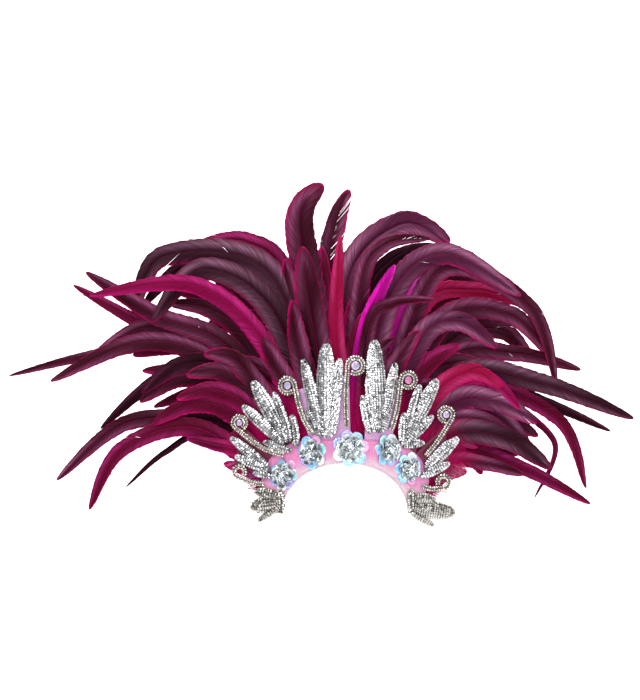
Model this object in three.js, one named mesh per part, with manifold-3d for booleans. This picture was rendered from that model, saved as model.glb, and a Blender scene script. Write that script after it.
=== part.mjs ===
// Carnival feather headdress: a silver sequin crown on a pink arched band, with three rows of dyed
// cock-tail feathers fanned out behind it. Millimetres, +Z up, the wearer looks along -Y, and the
// origin is the middle of the band's lower edge, where it sits on the head.
//
// Every piece is laid out flat in the front view (x across, z up) and then bent back round the head
// by one depth field, so neighbouring pieces keep their gaps all the way round.
import * as THREE from "three";
import { mergeVertices } from "three/addons/utils/BufferGeometryUtils.js";
import Module from "manifold-3d";

const wasm = await Module();
wasm.setup();

// Driving dimensions, in millimetres and degrees
const BAND = { halfWidth: 68, rise: 54, height: 26, haunch: 13, thickness: 2.5, endAngle: 91 };
const BAND_END = { taperFrom: 64, share: 0.34 };
const BAND_MESH = { steps: 28, rings: 2 };
const WRAP = { depth: 84, reach: 82 };
const SEAT_GAP = 0.4;
const RING_GAP = 0.8;
const LEAF = { thickness: 3.2, sides: 4, steps: 4, bluntness: 0.38, baseShare: 0.5, tipShare: 0.2 };
const SWIRL = { tubeRadius: 2.6, sides: 8, curlDegrees: 300, curlSteps: 8, stalkSteps: 4 };
const STONE = { clearance: 0.8, height: 3.4, table: 0.55, facets: 10 };
const ROSETTE = { height: 7, petals: 6, segments: 18, petalDepth: 0.16 };
const WELD_DISTANCE = 1e-3;
const PAILLETTE = { thickness: 1, lobes: 7, pointsPerLobe: 3, lobeDepth: 0.2 };
const ROOTS = { halfWidth: 76, rise: 64, tapeHeight: 6, tapeThickness: 2.6, tapeStep: 6, bury: 1.5 };
const FEATHER = { ridge: 0.6, quill: 0.16, quillLength: 0.3, tip: 0.1 };
const FEATHER_MESH = { sides: 4, stepLength: 62, crowding: 1.2, leastSteps: 4, mostSteps: 7 };
// The plume rows stand one behind the other on their tapes and lean further back row by row.
const SLAB = { first: 4.6, pitch: 3.2, lean: 0.05, leanPitch: 0.065, leanSpread: 0.025 };

// Neighbours in a row take turns to lean a little more or less, so that their vanes part.
const SHUFFLE = { step: 0.382, start: 0.23 };

// Turns table lines into objects with named columns.
const rows = (columns, lines) =>
  lines.map((line) => Object.fromEntries(columns.split(" ").map((name, i) => [name, line[i]])));

// Padded sequin leaves of each spray, from base to tip in the front view
const LEAVES = {
  spray_centre_left: rows("baseX baseZ tipX tipZ width", [
    [-22, 30, -21, 130, 20],
    [-27, 33, -46, 113, 13],
    [-18, 31, -6, 114, 12],
    [-27, 30, -42, 59, 9],
    [-15, 31, -9, 73, 9],
  ]),
  spray_centre_right: rows("baseX baseZ tipX tipZ width", [
    [36, 35, 32, 134, 20],
    [31, 36, 25, 96, 9],
    [41, 36, 55, 109, 12],
    [27, 34, 19, 73, 9],
    [38, 35, 48, 62, 8],
  ]),
  spray_left: rows("baseX baseZ tipX tipZ width", [
    [-64, 24, -101, 89, 16],
    [-68, 22, -112, 62, 12],
    [-60, 25, -78, 77, 10],
    [-54, 19, -58, 52, 10],
    [-59, 14, -89, 23, 8],
  ]),
  spray_right: rows("baseX baseZ tipX tipZ width", [
    [68, 29, 101, 91, 15],
    [67, 29, 82, 85, 11],
    [63, 22, 65, 54, 10],
    [70, 25, 96, 51, 9],
    [62, 20, 86, 22, 8],
  ]),
  spray_low_left: rows("baseX baseZ tipX tipZ width", [
    [-84, -5, -125, 27, 10],
    [-83, -9, -120, 7, 9],
    [-80, -14, -100, -11, 7],
  ]),
  spray_low_right: rows("baseX baseZ tipX tipZ width", [
    [89, -8, 124, 27, 11],
    [88, -4, 115, 24, 7],
    [84, -15, 114, -1, 9],
  ]),
  spray_end_left: rows("baseX baseZ tipX tipZ width", [
    [-71, -44, -103, -48, 17],
    [-72, -48, -95, -63, 7],
    [-71, -38, -98, -31, 12],
    [-70, -55, -72, -30, 9],
  ]),
  spray_end_right: rows("baseX baseZ tipX tipZ width", [
    [74, -49, 120, -55, 19],
    [73, -55, 97, -68, 7],
    [74, -38, 98, -41, 12],
    [74, -55, 74, -30, 10],
  ]),
};

// Beaded croziers: a stalk that bows sideways and curls round its eye, turn 1 to the right, -1 to the left
const SWIRLS = rows("name baseX baseZ eyeX eyeZ radius turn bow", [
  ["centre", 2, 40, 11, 107, 8.5, 1, -2],
  ["centre_left", -36, 33, -63, 85, 8, -1, -5],
  ["centre_right", 50, 36, 69, 91, 8, 1, 3],
  ["left", -67, 9, -116, 44, 7, 1, -6],
  ["right", 88, 8, 111, 53, 7.5, -1, 2],
  ["low_left", -89, -23, -116, -10, 6, 1, -2],
  ["low_right", 85, -25, 108, -21, 6.5, -1, 3],
]);
const NO_STONE = ["low_left", "low_right"];

const ROSETTES = rows("name x z radius paillettes", [
  ["centre", 5.5, 17.5, 14.5, 17],
  ["left", -36, 12, 13.5, 16],
  ["right", 48, 15, 13, 15.5],
  ["far_left", -67, -13, 13, 15.5],
  ["far_right", 70, -6, 12.5, 15],
]);

// Pink webs that carry the sprays above the band, each a patch between four corners
const WEBS = rows("lowX1 lowZ1 lowX2 lowZ2 highX2 highZ2 highX1 highZ1", [
  [-37, 16, 6, 18, 4, 98, -53, 80],
  [20, 16, 50, 16, 61, 91, 25, 86],
  [56, 8, 76, 8, 98, 71, 72, 69],
  [-70, 4, -50, 8, -71, 64, -102, 71],
  [74, 8, 81, -18, 114, 4, 110, 40],
  [-80, -20, -74, 6, -112, 40, -122, -2],
]);
const WEB = { thickness: 1.4, setBack: 0.4, across: 6, up: 2 };

// Feathers: root is the angle on the tape, 1 and 2 are points that the shaft passes, and then comes
// its end, all in the front view. The tip is pointed up to about 3 and round from there on. Row 0 is
// the front row and 2 the back row.
const FEATHERS = rows("sector row root x1 z1 x2 z2 endX endZ width tip", [
  ["left", 0, -16, -36, 70, -50, 125, -58, 179, 27, 3.5],
  ["left", 0, -24, -52, 65, -74, 105, -92, 140, 27, 4],
  ["left", 0, -28, -88, 130, -168, 196, -283, 184, 23, 2.8],
  ["left", 0, -36, -99, 86, -125, 115, -156, 119, 27, 4],
  ["left", 0, -44, -98, 72, -135, 100, -175, 96, 26, 4],
  ["left", 0, -55, -100, 55, -143, 80, -186, 70, 24, 3.5],
  ["left", 0, -60, -121, 53, -170, 64, -212, 42, 25, 3.5],
  ["left", 0, -70, -160, 37, -247, 14, -283, -53, 22, 3],
  ["left", 0, -76, -110, 8, -145, 20, -175, 26, 17, 3.5],
  ["left", 0, -79, -97, -14, -114, -6, -134, -1, 18, 3.5],
  ["left", 1, -21, -78, 165, -158, 214, -214, 155, 32, 3.5],
  ["left", 1, -18, -80, 205, -200, 229, -236, 163, 33, 3.5],
  ["left", 1, -32, -104, 130, -148, 168, -198, 176, 27, 3.5],
  ["left", 1, -34, -126, 124, -210, 163, -289, 211, 26, 3],
  ["left", 1, -44, -137, 105, -225, 133, -328, 89, 24, 3],
  ["left", 1, -47, -128, 95, -180, 108, -226, 76, 26, 3.5],
  ["left", 1, -50, -121, 80, -180, 93, -228, 66, 27, 3.5],
  ["left", 1, -64, -148, 38, -242, 43, -321, -21, 21, 3],
  ["left", 1, -66, -125, 36, -175, 44, -216, 30, 24, 3.5],
  ["left", 1, -15, -36, 90, -54, 160, -66, 225, 28, 3.5],
  ["left", 2, -14, -66, 200, -108, 244, -162, 245, 32, 3.5],
  ["left", 2, -24, -85, 125, -140, 178, -192, 190, 29, 3.5],
  ["left", 2, -28, -72, 110, -108, 170, -150, 212, 29, 3.5],
  ["left", 2, -40, -137, 117, -215, 150, -281, 119, 27, 3],
  ["left", 2, -38, -137, 113, -215, 147, -305, 197, 20, 3],
  ["left", 2, -42, -160, 124, -262, 122, -377, 95, 18, 1.8],
  ["left", 2, -47, -125, 105, -180, 128, -237, 118, 27, 3.5],
  ["left", 2, -52, -132, 102, -205, 93, -273, 36, 19, 3],
  ["left", 2, -74, -150, 28, -200, 10, -244, -29, 10, 1.8],
  ["centre", 0, -9, -24, 90, -38, 165, -47, 238, 36, 4],
  ["centre", 0, 0, -5, 90, -10, 165, -5, 250, 18, 3.5],
  ["centre", 0, 4, 16, 110, 28, 165, 55, 218, 20, 3.5],
  ["centre", 0, 12, 26, 146, 52, 176, 100, 180, 17, 3],
  ["centre", 1, -6, -38, 185, -50, 272, -24, 308, 34, 10],
  ["centre", 1, -3, -14, 80, -22, 160, -26, 238, 28, 4],
  ["centre", 1, 1, 2, 60, 5, 120, 8, 180, 26, 4],
  ["centre", 1, 7, 17, 190, 44, 240, 95, 248, 23, 3],
  ["centre", 2, -1, -16, 200, -10, 262, 5, 303, 27, 8],
  ["centre", 2, 4, 2, 195, 62, 264, 119, 245, 33, 8],
  ["right", 0, 16, 38, 70, 58, 112, 82, 146, 25, 3.5],
  ["right", 0, 22, 80, 132, 124, 156, 168, 126, 29, 3.5],
  ["right", 0, 29, 66, 78, 95, 112, 126, 130, 26, 3.5],
  ["right", 0, 38, 112, 84, 160, 91, 193, 59, 20, 3.5],
  ["right", 0, 46, 126, 96, 215, 88, 320, 48, 26, 3],
  ["right", 0, 42, 95, 72, 138, 100, 174, 83, 24, 4],
  ["right", 0, 51, 115, 64, 165, 68, 212, 43, 28, 4],
  ["right", 0, 57, 105, 42, 146, 48, 182, 30, 26, 3.5],
  ["right", 0, 62, 116, 31, 178, 26, 228, -7, 28, 4],
  ["right", 0, 72, 116, 1, 158, -2, 197, -14, 18, 4],
  ["right", 0, 75, 97, -20, 115, -12, 135, -10, 18, 3.5],
  ["right", 1, 14, 45, 172, 108, 231, 196, 184, 30, 3.5],
  ["right", 1, 26, 100, 208, 205, 173, 236, 83, 24, 2.8],
  ["right", 1, 32, 104, 152, 182, 164, 234, 111, 27, 3.5],
  ["right", 1, 35, 80, 85, 124, 110, 168, 97, 27, 3.5],
  ["right", 1, 40, 115, 113, 190, 120, 263, 102, 22, 3.5],
  ["right", 1, 54, 115, 53, 165, 54, 208, 10, 28, 4],
  ["right", 1, 57, 140, 80, 238, 46, 268, -30, 19, 3],
  ["right", 1, 64, 105, 22, 150, 24, 193, 8, 27, 3.5],
  ["right", 1, 69, 126, 12, 195, -6, 273, -47, 18, 3],
  ["right", 2, 14, 38, 110, 60, 175, 84, 210, 26, 3.5],
  ["right", 2, 18, 55, 150, 108, 205, 170, 200, 29, 3.5],
  ["right", 2, 23, 62, 120, 100, 168, 142, 190, 28, 3.5],
  ["right", 2, 28, 82, 168, 146, 191, 208, 171, 23, 3.5],
  ["right", 2, 36, 108, 124, 172, 147, 212, 110, 29, 3.5],
  ["right", 2, 44, 105, 82, 160, 104, 216, 84, 26, 3.5],
  ["right", 2, 50, 148, 86, 222, 66, 298, 33, 16, 3],
  ["right", 2, 55, 108, 52, 160, 55, 216, 28, 27, 3.5],
  ["right", 2, 60, 140, 74, 232, 25, 211, -41, 11, 1.8],
]);
const ROW_NAMES = ["front", "middle", "back"];
// Tape ends in degrees, and how many half steps each sector's tape stands behind its row's first one
const SECTORS = {
  left: { from: -80, to: -8, behind: 0 },
  centre: { from: -12, to: 15, behind: 1 },
  right: { from: 8, to: 77, behind: 0 },
};

const radians = THREE.MathUtils.degToRad;
const smooth = THREE.MathUtils.smoothstep;

// Depth of the crown's front face: nothing in the middle, bending back towards both sides.
const wrapDepth = (x) => (WRAP.depth * x * x) / (x * x + WRAP.reach ** 2);
const wrapAngle = (x) =>
  Math.atan((2 * WRAP.depth * WRAP.reach ** 2 * x) / (x * x + WRAP.reach ** 2) ** 2);

// Point of an arch over the head, on an ellipse whose middle lies BAND.rise below the origin.
function archPoint(halfWidth, rise, degrees) {
  const angle = radians(degrees);
  return new THREE.Vector2(halfWidth * Math.sin(angle), rise * Math.cos(angle) - BAND.rise);
}

// How far a front-view point lies outside the feather roots, in millimetres.
function beyondRoots(x, z) {
  const share = Math.hypot(x / ROOTS.halfWidth, (z + BAND.rise) / ROOTS.rise) - 1;
  return share * ROOTS.rise;
}

function solidOf(geometry) {
  const bare = geometry.clone();
  bare.deleteAttribute("normal");
  bare.deleteAttribute("uv");
  const merged = mergeVertices(bare, WELD_DISTANCE);
  return new wasm.Manifold(
    new wasm.Mesh({
      numProp: 3,
      vertProperties: new Float32Array(merged.attributes.position.array),
      triVerts: new Uint32Array(merged.index.array),
    }),
  );
}

function fused(geometries) {
  const joined = geometries.map(solidOf).reduce((sum, solid) => sum.add(solid));
  const mesh = joined.getMesh();
  const geometry = new THREE.BufferGeometry();
  geometry.setAttribute("position", new THREE.BufferAttribute(mesh.vertProperties, 3));
  geometry.setIndex(new THREE.BufferAttribute(mesh.triVerts, 1));
  geometry.computeVertexNormals();
  return geometry;
}

// Moves every vertex of a primitive to place(x, y, z).
function reshaped(geometry, place) {
  const position = geometry.attributes.position;
  for (let i = 0; i < position.count; i++) {
    const moved = place(position.getX(i), position.getY(i), position.getZ(i));
    position.setXYZ(i, moved.x, moved.y, moved.z);
  }
  geometry.computeVertexNormals();
  return geometry;
}

// Splits the quads of every other side along their other diagonal, so that the front and the back of
// a thin blade fold along the same lines and never meet.
function foldAlike(cylinder, sides, steps) {
  const corners = cylinder.index.array;
  for (let quad = 0; quad < sides * steps; quad++) {
    const side = Math.floor(quad / steps);
    if (side % 2 === 1) {
      const start = quad * 6;
      const [a, b, d, , c] = corners.slice(start, start + 6);
      corners.set([a, b, c, a, c, d], start);
    }
  }
  return cylinder;
}

// A blade along a front-view curve: halfWidth(s) to either side and thickness to front and back,
// with depth(x, z) giving the middle of its section. Crowding above 1 sets more steps near its root.
function blade(curve, sides, steps, crowding, halfWidth, thickness, depth) {
  const primitive = foldAlike(new THREE.CylinderGeometry(1, 1, 1, sides, steps), sides, steps);
  return reshaped(primitive, (across, y, through) => {
    const s = (0.5 - y) ** crowding;
    const middle = curve.getPoint(s);
    const along = curve.getTangent(s);
    const x = middle.x + along.y * across * halfWidth(s);
    const z = middle.y - along.x * across * halfWidth(s);
    return new THREE.Vector3(x, depth(x, z) + through * thickness, z);
  });
}

// A wall over a front-view patch: point(u, v) for u and v from 0 to 1, front face on the depth field.
function wall(across, up, thickness, point, depth) {
  const primitive = new THREE.BoxGeometry(1, 1, 1, across, 1, up);
  return reshaped(primitive, (u, through, v) => {
    const spot = point(u + 0.5, v + 0.5);
    return new THREE.Vector3(spot.x, depth(spot.x, spot.y) + (through + 0.5) * thickness, spot.y);
  });
}

// Crown base: the satin band over the head and the webs that rise from it
function crownBase() {
  const band = wall(
    BAND_MESH.steps,
    BAND_MESH.rings,
    BAND.thickness,
    (u, v) => {
      const angle = BAND.endAngle * (2 * u - 1);
      const height = BAND.height + BAND.haunch * Math.sin(2 * radians(angle)) ** 2;
      const taper = smooth(Math.abs(angle), BAND_END.taperFrom, BAND.endAngle);
      const grow = v * height * (1 - taper * (1 - BAND_END.share));
      return archPoint(BAND.halfWidth + grow, BAND.rise + grow, angle);
    },
    wrapDepth,
  );
  const webs = WEBS.map((web) => {
    const low = new THREE.LineCurve(
      new THREE.Vector2(web.lowX1, web.lowZ1),
      new THREE.Vector2(web.lowX2, web.lowZ2),
    );
    const high = new THREE.LineCurve(
      new THREE.Vector2(web.highX1, web.highZ1),
      new THREE.Vector2(web.highX2, web.highZ2),
    );
    const point = (u, v) => low.getPoint(u).lerp(high.getPoint(u), v);
    return wall(WEB.across, WEB.up, WEB.thickness, point, (x) => wrapDepth(x) + WEB.setBack);
  });
  return fused([band, ...webs]);
}

// Leaf outline: a blunt oval, widest at its middle.
const leafShape = (s) => {
  const oval = (4 * s * (1 - s)) ** LEAF.bluntness;
  return s < 0.5 ? Math.max(oval, LEAF.baseShare) : Math.max(oval, LEAF.tipShare);
};

function leaf({ baseX, baseZ, tipX, tipZ, width }) {
  const vein = new THREE.LineCurve(new THREE.Vector2(baseX, baseZ), new THREE.Vector2(tipX, tipZ));
  const half = LEAF.thickness / 2;
  const depth = (x) => wrapDepth(x) - SEAT_GAP - half;
  return blade(vein, LEAF.sides, LEAF.steps, 1, (s) => (leafShape(s) * width) / 2, half, depth);
}

// Centre line of a crozier: the bowed stalk meets its curl along a tangent.
function swirlPath({ baseX, baseZ, eyeX, eyeZ, radius, turn, bow }) {
  const base = new THREE.Vector2(baseX, baseZ);
  const eye = new THREE.Vector2(eyeX, eyeZ);
  const toEye = eye.clone().sub(base);
  const tilt = Math.asin(radius / toEye.length());
  const heading = Math.atan2(toEye.y, toEye.x) + turn * tilt;
  const start = heading + (turn * Math.PI) / 2;
  const onCurl = (angle) =>
    new THREE.Vector2(Math.cos(angle), Math.sin(angle)).multiplyScalar(radius).add(eye);
  const shoulder = onCurl(start);
  const side = new THREE.Vector2(Math.sin(heading), -Math.cos(heading)).multiplyScalar(bow);
  const flat = [];
  for (let i = 0; i < SWIRL.stalkSteps; i++) {
    const s = i / SWIRL.stalkSteps;
    flat.push(base.clone().lerp(shoulder, s).addScaledVector(side, Math.sin(Math.PI * s) * (1 - s / 2)));
  }
  for (let i = 0; i <= SWIRL.curlSteps; i++) {
    flat.push(onCurl(start - (turn * radians(SWIRL.curlDegrees) * i) / SWIRL.curlSteps));
  }
  const lift = SEAT_GAP + SWIRL.tubeRadius;
  return new THREE.CatmullRomCurve3(
    flat.map((p) => new THREE.Vector3(p.x, wrapDepth(p.x) - lift / Math.cos(wrapAngle(p.x)), p.y)),
  );
}

function swirl(row) {
  const section = new THREE.Shape().absarc(0, 0, SWIRL.tubeRadius, 0, 2 * Math.PI);
  return new THREE.ExtrudeGeometry(section, {
    steps: SWIRL.stalkSteps + SWIRL.curlSteps + 1,
    curveSegments: SWIRL.sides / 2,
    extrudePath: swirlPath(row),
  });
}

// Stone in the eye of a crozier: a faceted dome with a flat table.
function eyeStone({ radius }) {
  const girdle = radius - SWIRL.tubeRadius - STONE.clearance;
  return new THREE.CylinderGeometry(girdle * STONE.table, girdle, STONE.height, STONE.facets);
}

// Dome of a rosette from the band outwards, as shares of its radius and height
const ROSETTE_DOME = rows("radius height", [
  [0, 0],
  [0.8, 0],
  [1, 0.35],
  [0.8, 0.75],
  [0.35, 1],
  [0, 0.85],
]);

// Rosette of silver petals: a domed profile whose radius swells at each petal.
function rosette({ radius }) {
  const profile = ROSETTE_DOME.map(
    (share) => new THREE.Vector2(share.radius * radius, share.height * ROSETTE.height),
  );
  return reshaped(new THREE.LatheGeometry(profile, ROSETTE.segments), (x, y, z) => {
    const between = (1 - Math.cos(ROSETTE.petals * Math.atan2(x, z))) / 2;
    const ripple = 1 - ROSETTE.petalDepth * between;
    return new THREE.Vector3(x * ripple, y, z * ripple);
  });
}

// Ring of overlapping paillettes under a rosette: one scalloped disc.
function pailletteRing({ paillettes }) {
  const outline = [];
  for (let i = 0; i < PAILLETTE.lobes * PAILLETTE.pointsPerLobe; i++) {
    const share = i / PAILLETTE.pointsPerLobe;
    const angle = (2 * Math.PI * share) / PAILLETTE.lobes;
    const r = paillettes * (1 - PAILLETTE.lobeDepth * (1 - Math.abs(Math.sin(Math.PI * share))));
    outline.push(new THREE.Vector2(r * Math.cos(angle), r * Math.sin(angle)));
  }
  return new THREE.ExtrudeGeometry(new THREE.Shape(outline), {
    depth: PAILLETTE.thickness,
    bevelEnabled: false,
  });
}

// Depth field of one plume: its place in the stack of tapes and how far it leans back.
function plumeDepth(row, behind, leanShare) {
  const slab = 2 * row + behind;
  const offset = SLAB.first + SLAB.pitch * slab;
  const lean = SLAB.lean + SLAB.leanPitch * slab + SLAB.leanSpread * leanShare;
  return (x, z) => wrapDepth(x) + offset + lean * beyondRoots(x, z);
}

// Feather outline: a bare quill, a long vane, and a tip that is rounder the larger its power is.
const featherShape = (s, tip) => {
  const vane = smooth(s, 0, FEATHER.quillLength) * Math.sqrt(Math.max(0, 1 - s ** tip));
  return Math.max(vane, s < 0.5 ? FEATHER.quill : FEATHER.tip);
};

function feather({ root, x1, z1, x2, z2, endX, endZ, width, tip }, depth) {
  const quill = new THREE.SplineCurve([
    archPoint(ROOTS.halfWidth - ROOTS.bury, ROOTS.rise - ROOTS.bury, root),
    new THREE.Vector2(x1, z1),
    new THREE.Vector2(x2, z2),
    new THREE.Vector2(endX, endZ),
  ]);
  const halfWidth = (s) => (featherShape(s, tip) * width) / 2;
  const { sides, stepLength, crowding, leastSteps, mostSteps } = FEATHER_MESH;
  const wanted = Math.round(quill.getLength() / stepLength);
  const steps = THREE.MathUtils.clamp(wanted, leastSteps, mostSteps);
  return blade(quill, sides, steps, crowding, halfWidth, FEATHER.ridge, depth);
}

function plume(sector, row) {
  const { from, to, behind } = SECTORS[sector];
  const tape = wall(
    Math.round((to - from) / ROOTS.tapeStep),
    1,
    ROOTS.tapeThickness,
    (u, v) => {
      const grow = ROOTS.tapeHeight * (v - 0.5);
      return archPoint(ROOTS.halfWidth + grow, ROOTS.rise + grow, from + (to - from) * u);
    },
    (x, z) => plumeDepth(row, behind, 0)(x, z) - ROOTS.tapeThickness / 2,
  );
  const members = FEATHERS.filter((f) => f.sector === sector && f.row === row);
  const blades = members.map((f, i) => {
    const leanShare = 2 * ((i * SHUFFLE.step + SHUFFLE.start) % 1) - 1;
    return feather(f, plumeDepth(row, behind, leanShare));
  });
  return fused([...blades, tape]);
}

// Materials
const finish = (color, roughness, metalness) =>
  new THREE.MeshStandardMaterial({ color, roughness, metalness });
const PINK_SATIN = finish("#ee9cc4", 0.5, 0);
const SILVER_SEQUIN = finish("#c9cbd0", 0.25, 0.9);
const SILVER_BEAD = finish("#b3ae9f", 0.3, 0.8);
const LILAC_STONE = finish("#cdb6de", 0.1, 0.1);
const PEARL_PAILLETTE = finish("#b9c4ee", 0.2, 0.2);
const PLUM_FEATHER = finish("#4c1030", 0.6, 0);

const headdress = new THREE.Group();
const crown = new THREE.Group();
const plumes = new THREE.Group();
headdress.add(crown, plumes);

function add(group, name, geometry, material) {
  const mesh = new THREE.Mesh(geometry, material);
  mesh.name = name;
  group.add(mesh);
  return mesh;
}

// Faces a piece whose own front is +Y out of the crown at a front-view point, lifted off the band.
function mountOnBand(mesh, x, z, lift) {
  const angle = wrapAngle(x);
  mesh.position.set(x + lift * Math.sin(angle), wrapDepth(x) - lift * Math.cos(angle), z);
  mesh.rotation.set(0, 0, Math.PI + angle);
}

add(crown, "crown_base", crownBase(), PINK_SATIN);
for (const [name, leaves] of Object.entries(LEAVES)) {
  add(crown, name, fused(leaves.map(leaf)), SILVER_SEQUIN);
}
for (const row of SWIRLS) {
  add(crown, `swirl_${row.name}`, swirl(row), SILVER_BEAD);
  if (!NO_STONE.includes(row.name)) {
    const stone = add(crown, `eye_stone_${row.name}`, eyeStone(row), LILAC_STONE);
    mountOnBand(stone, row.eyeX, row.eyeZ, SEAT_GAP + SWIRL.tubeRadius);
  }
}
for (const row of ROSETTES) {
  const ring = pailletteRing(row).rotateX(-Math.PI / 2);
  mountOnBand(add(crown, `paillettes_${row.name}`, ring, PEARL_PAILLETTE), row.x, row.z, RING_GAP);
  const flowerLift = RING_GAP + PAILLETTE.thickness + SEAT_GAP;
  mountOnBand(add(crown, `rosette_${row.name}`, rosette(row), SILVER_SEQUIN), row.x, row.z, flowerLift);
}
for (const sector of Object.keys(SECTORS)) {
  ROW_NAMES.forEach((rowName, row) => {
    add(plumes, `plume_${sector}_${rowName}`, plume(sector, row), PLUM_FEATHER);
  });
}

export default headdress;
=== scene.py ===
# %% [markdown]
# # A carnival feather headdress
# A silver sequin crown sits on a pink band, and dyed cock-tail feathers fan out behind it.
# The solid model gives the place and size of every piece. This lesson dresses each piece: barbs for
# the feathers, sequins for the leaves, beads for the swirls.

from collections import namedtuple

import bpy
import numpy as np
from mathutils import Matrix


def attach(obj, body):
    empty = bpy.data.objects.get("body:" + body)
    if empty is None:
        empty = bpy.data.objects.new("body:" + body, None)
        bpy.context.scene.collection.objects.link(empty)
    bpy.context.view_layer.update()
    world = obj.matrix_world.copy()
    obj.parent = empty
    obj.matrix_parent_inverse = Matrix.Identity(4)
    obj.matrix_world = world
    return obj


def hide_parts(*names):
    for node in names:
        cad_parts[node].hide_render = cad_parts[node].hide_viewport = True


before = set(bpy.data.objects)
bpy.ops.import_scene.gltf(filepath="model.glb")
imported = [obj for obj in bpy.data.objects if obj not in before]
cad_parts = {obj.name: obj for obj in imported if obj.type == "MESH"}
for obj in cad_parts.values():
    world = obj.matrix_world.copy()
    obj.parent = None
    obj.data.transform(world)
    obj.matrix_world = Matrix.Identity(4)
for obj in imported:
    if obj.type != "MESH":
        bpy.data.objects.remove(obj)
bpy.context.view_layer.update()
print("nodes in the model:", len(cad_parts))

# %% [markdown]
# ## A flat pattern
# A costume maker draws the whole headdress flat and then bends it round the head. The same is done
# here: every piece has its place in the front view, x across and z up, in millimetres. It could be
# modelled in place by hand, but short tables are quicker to read and to change. A table is a block
# of text with one row for each piece, and it stands in the section that uses it.


# %% Reading a table
def table(columns, text):
    """Rows of a text table: words stay words and the rest become numbers."""
    rows = []
    for line in text.strip().splitlines():
        cells = [c if c[0].isalpha() else float(c) for c in line.split()]
        rows.append(dict(zip(columns.split(), cells)))
    return rows


print("one row of a table:", table("name x z", "centre 5.5 17.5")[0])

# %% [markdown]
# ## Bending the pattern round the head
# On a head, the crown curves back at both sides. Here one depth field carries every point of the
# flat pattern straight back, so that all pieces bend alike and still meet. A bend modifier could do
# it too, but a formula also gives its slope, which later turns sequins and stones outwards.

# %% Depth of the crown
WRAP_DEPTH = 84  # mm that the crown's sides come near to
WRAP_REACH = 82  # mm to the side where it has come half as far


def wrap(x):
    """Depth of the crown's front: it grows as the square of x and levels off at the temples."""
    return WRAP_DEPTH * x**2 / (x**2 + WRAP_REACH**2)


def wrap_angle(x):
    """How far the crown is turned sideways at x: the angle of the depth field's slope."""
    return np.arctan(2 * WRAP_DEPTH * WRAP_REACH**2 * x / (x**2 + WRAP_REACH**2) ** 2)


print("depth at 60, 120 and 240 mm:", wrap(np.array([60.0, 120.0, 240.0])).round(1))

# %% [markdown]
# ## Three ways to make a surface
# Nearly everything here is one of three things: a strip swept along a path, a small shape turned on
# an axis, or many copies of such a shape. Each could be an object with modifiers. One function on
# whole arrays is far quicker for thousands of sequins and barbs. It gives back a pair: the points,
# and the faces in groups that have the same number of corners.


# %% A strip swept along a path
def on_front(x, y, z):
    """Points (..., xyz) from arrays of x, y and z that spread to one shape."""
    return np.stack(np.broadcast_arrays(x, y, z), -1).astype(float)


def round_wall(front, back):
    """Rings round a wall (station, place, ...): its front from side to side, its back reversed."""
    return np.concatenate([front, back[:, ::-1]], 1)


def sweep(rings):
    """Joins rings (strip, station, side, xyz) into strips: quads between, a cap at each end."""
    strips, stations, sides, _ = rings.shape
    index = np.arange(strips * stations * sides).reshape(strips, stations, sides)
    after = np.roll(index, -1, axis=2)
    quads = np.stack([index[:, :-1], after[:, :-1], after[:, 1:], index[:, 1:]], -1)
    caps = np.concatenate([index[:, 0, ::-1], index[:, -1]])
    return rings.reshape(-1, 3), [quads.reshape(-1, 4), caps]


print("quads and caps of 3 rings:", [len(f) for f in sweep(np.zeros((1, 3, 4, 3)))[1]])


# %% A shape turned on an axis
def turns(sides):
    """Angles that share out one full turn."""
    return np.arange(sides) * 2 * np.pi / sides


def turned(profile, sides, ripple=None):
    """Turns (radius, height) points round an axis, where they start and end.

    Each point between becomes a ring, and ripple scales its radius by the angle.
    """
    profile = np.array(profile, float)
    angle = turns(sides)
    radius = profile[1:-1, :1] * (np.ones(sides) if ripple is None else ripple(angle))
    rings = on_front(radius * np.cos(angle), radius * np.sin(angle), profile[1:-1, 1:])
    ends = np.array([[0, 0, profile[0, 1]], [0, 0, profile[-1, 1]]])
    index = np.arange(rings.size // 3).reshape(-1, sides)
    after = np.roll(index, -1, axis=1)
    quads = np.stack([index[:-1], after[:-1], after[1:], index[1:]], -1).reshape(-1, 4)
    low = np.stack([after[0], index[0], np.full(sides, index.size)], -1)
    high = np.stack([index[-1], after[-1], np.full(sides, index.size + 1)], -1)
    return np.concatenate([rings.reshape(-1, 3), ends]), [quads, np.concatenate([low, high])]


cone = turned([(0, 0), (1, 0), (0, 2)], 8)
print("points of a turned cone:", len(cone[0]))


# %% Copies of a shape
def facing(normal):
    """Axes (copy, axis, xyz): the third is the normal, the second points as far up as it can."""
    z = normal / np.linalg.norm(normal, axis=-1, keepdims=True)
    x = np.cross(np.array([0.0, 0.0, 1.0]), z)
    x /= np.linalg.norm(x, axis=-1, keepdims=True)
    return np.stack([x, np.cross(z, x), z], -2)


def copies(shape, centres, axes, size):
    """Copies of one shape: its x, y, z run along each copy's axes (copy, axis, xyz), times size."""
    points, faces = shape
    placed = np.einsum("ka,nab->nkb", points, axes * np.reshape(size, (-1, 1, 1)))
    step = (np.arange(len(centres)) * len(points))[:, None, None]
    counted_on = [(f + step).reshape(-1, f.shape[1]) for f in faces]
    return (placed + centres[:, None]).reshape(-1, 3), counted_on


forward = facing(np.array([[0.0, -1.0, 0.0]] * 3))
print("points of three cones:", len(copies(cone, np.zeros((3, 3)), forward, 1.0)[0]))

# %% [markdown]
# ## Finishes
# Silver, satin and dyed barbs are all a Principled shader with other settings. Colours that vary
# from barb to barb or from disc to disc are stored on the mesh as a colour attribute named `tint`,
# which the shader reads. A noise then darkens the tint, changes the roughness and raises the
# surface. A picture could do the same, but noise has no edge where it ends.


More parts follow.
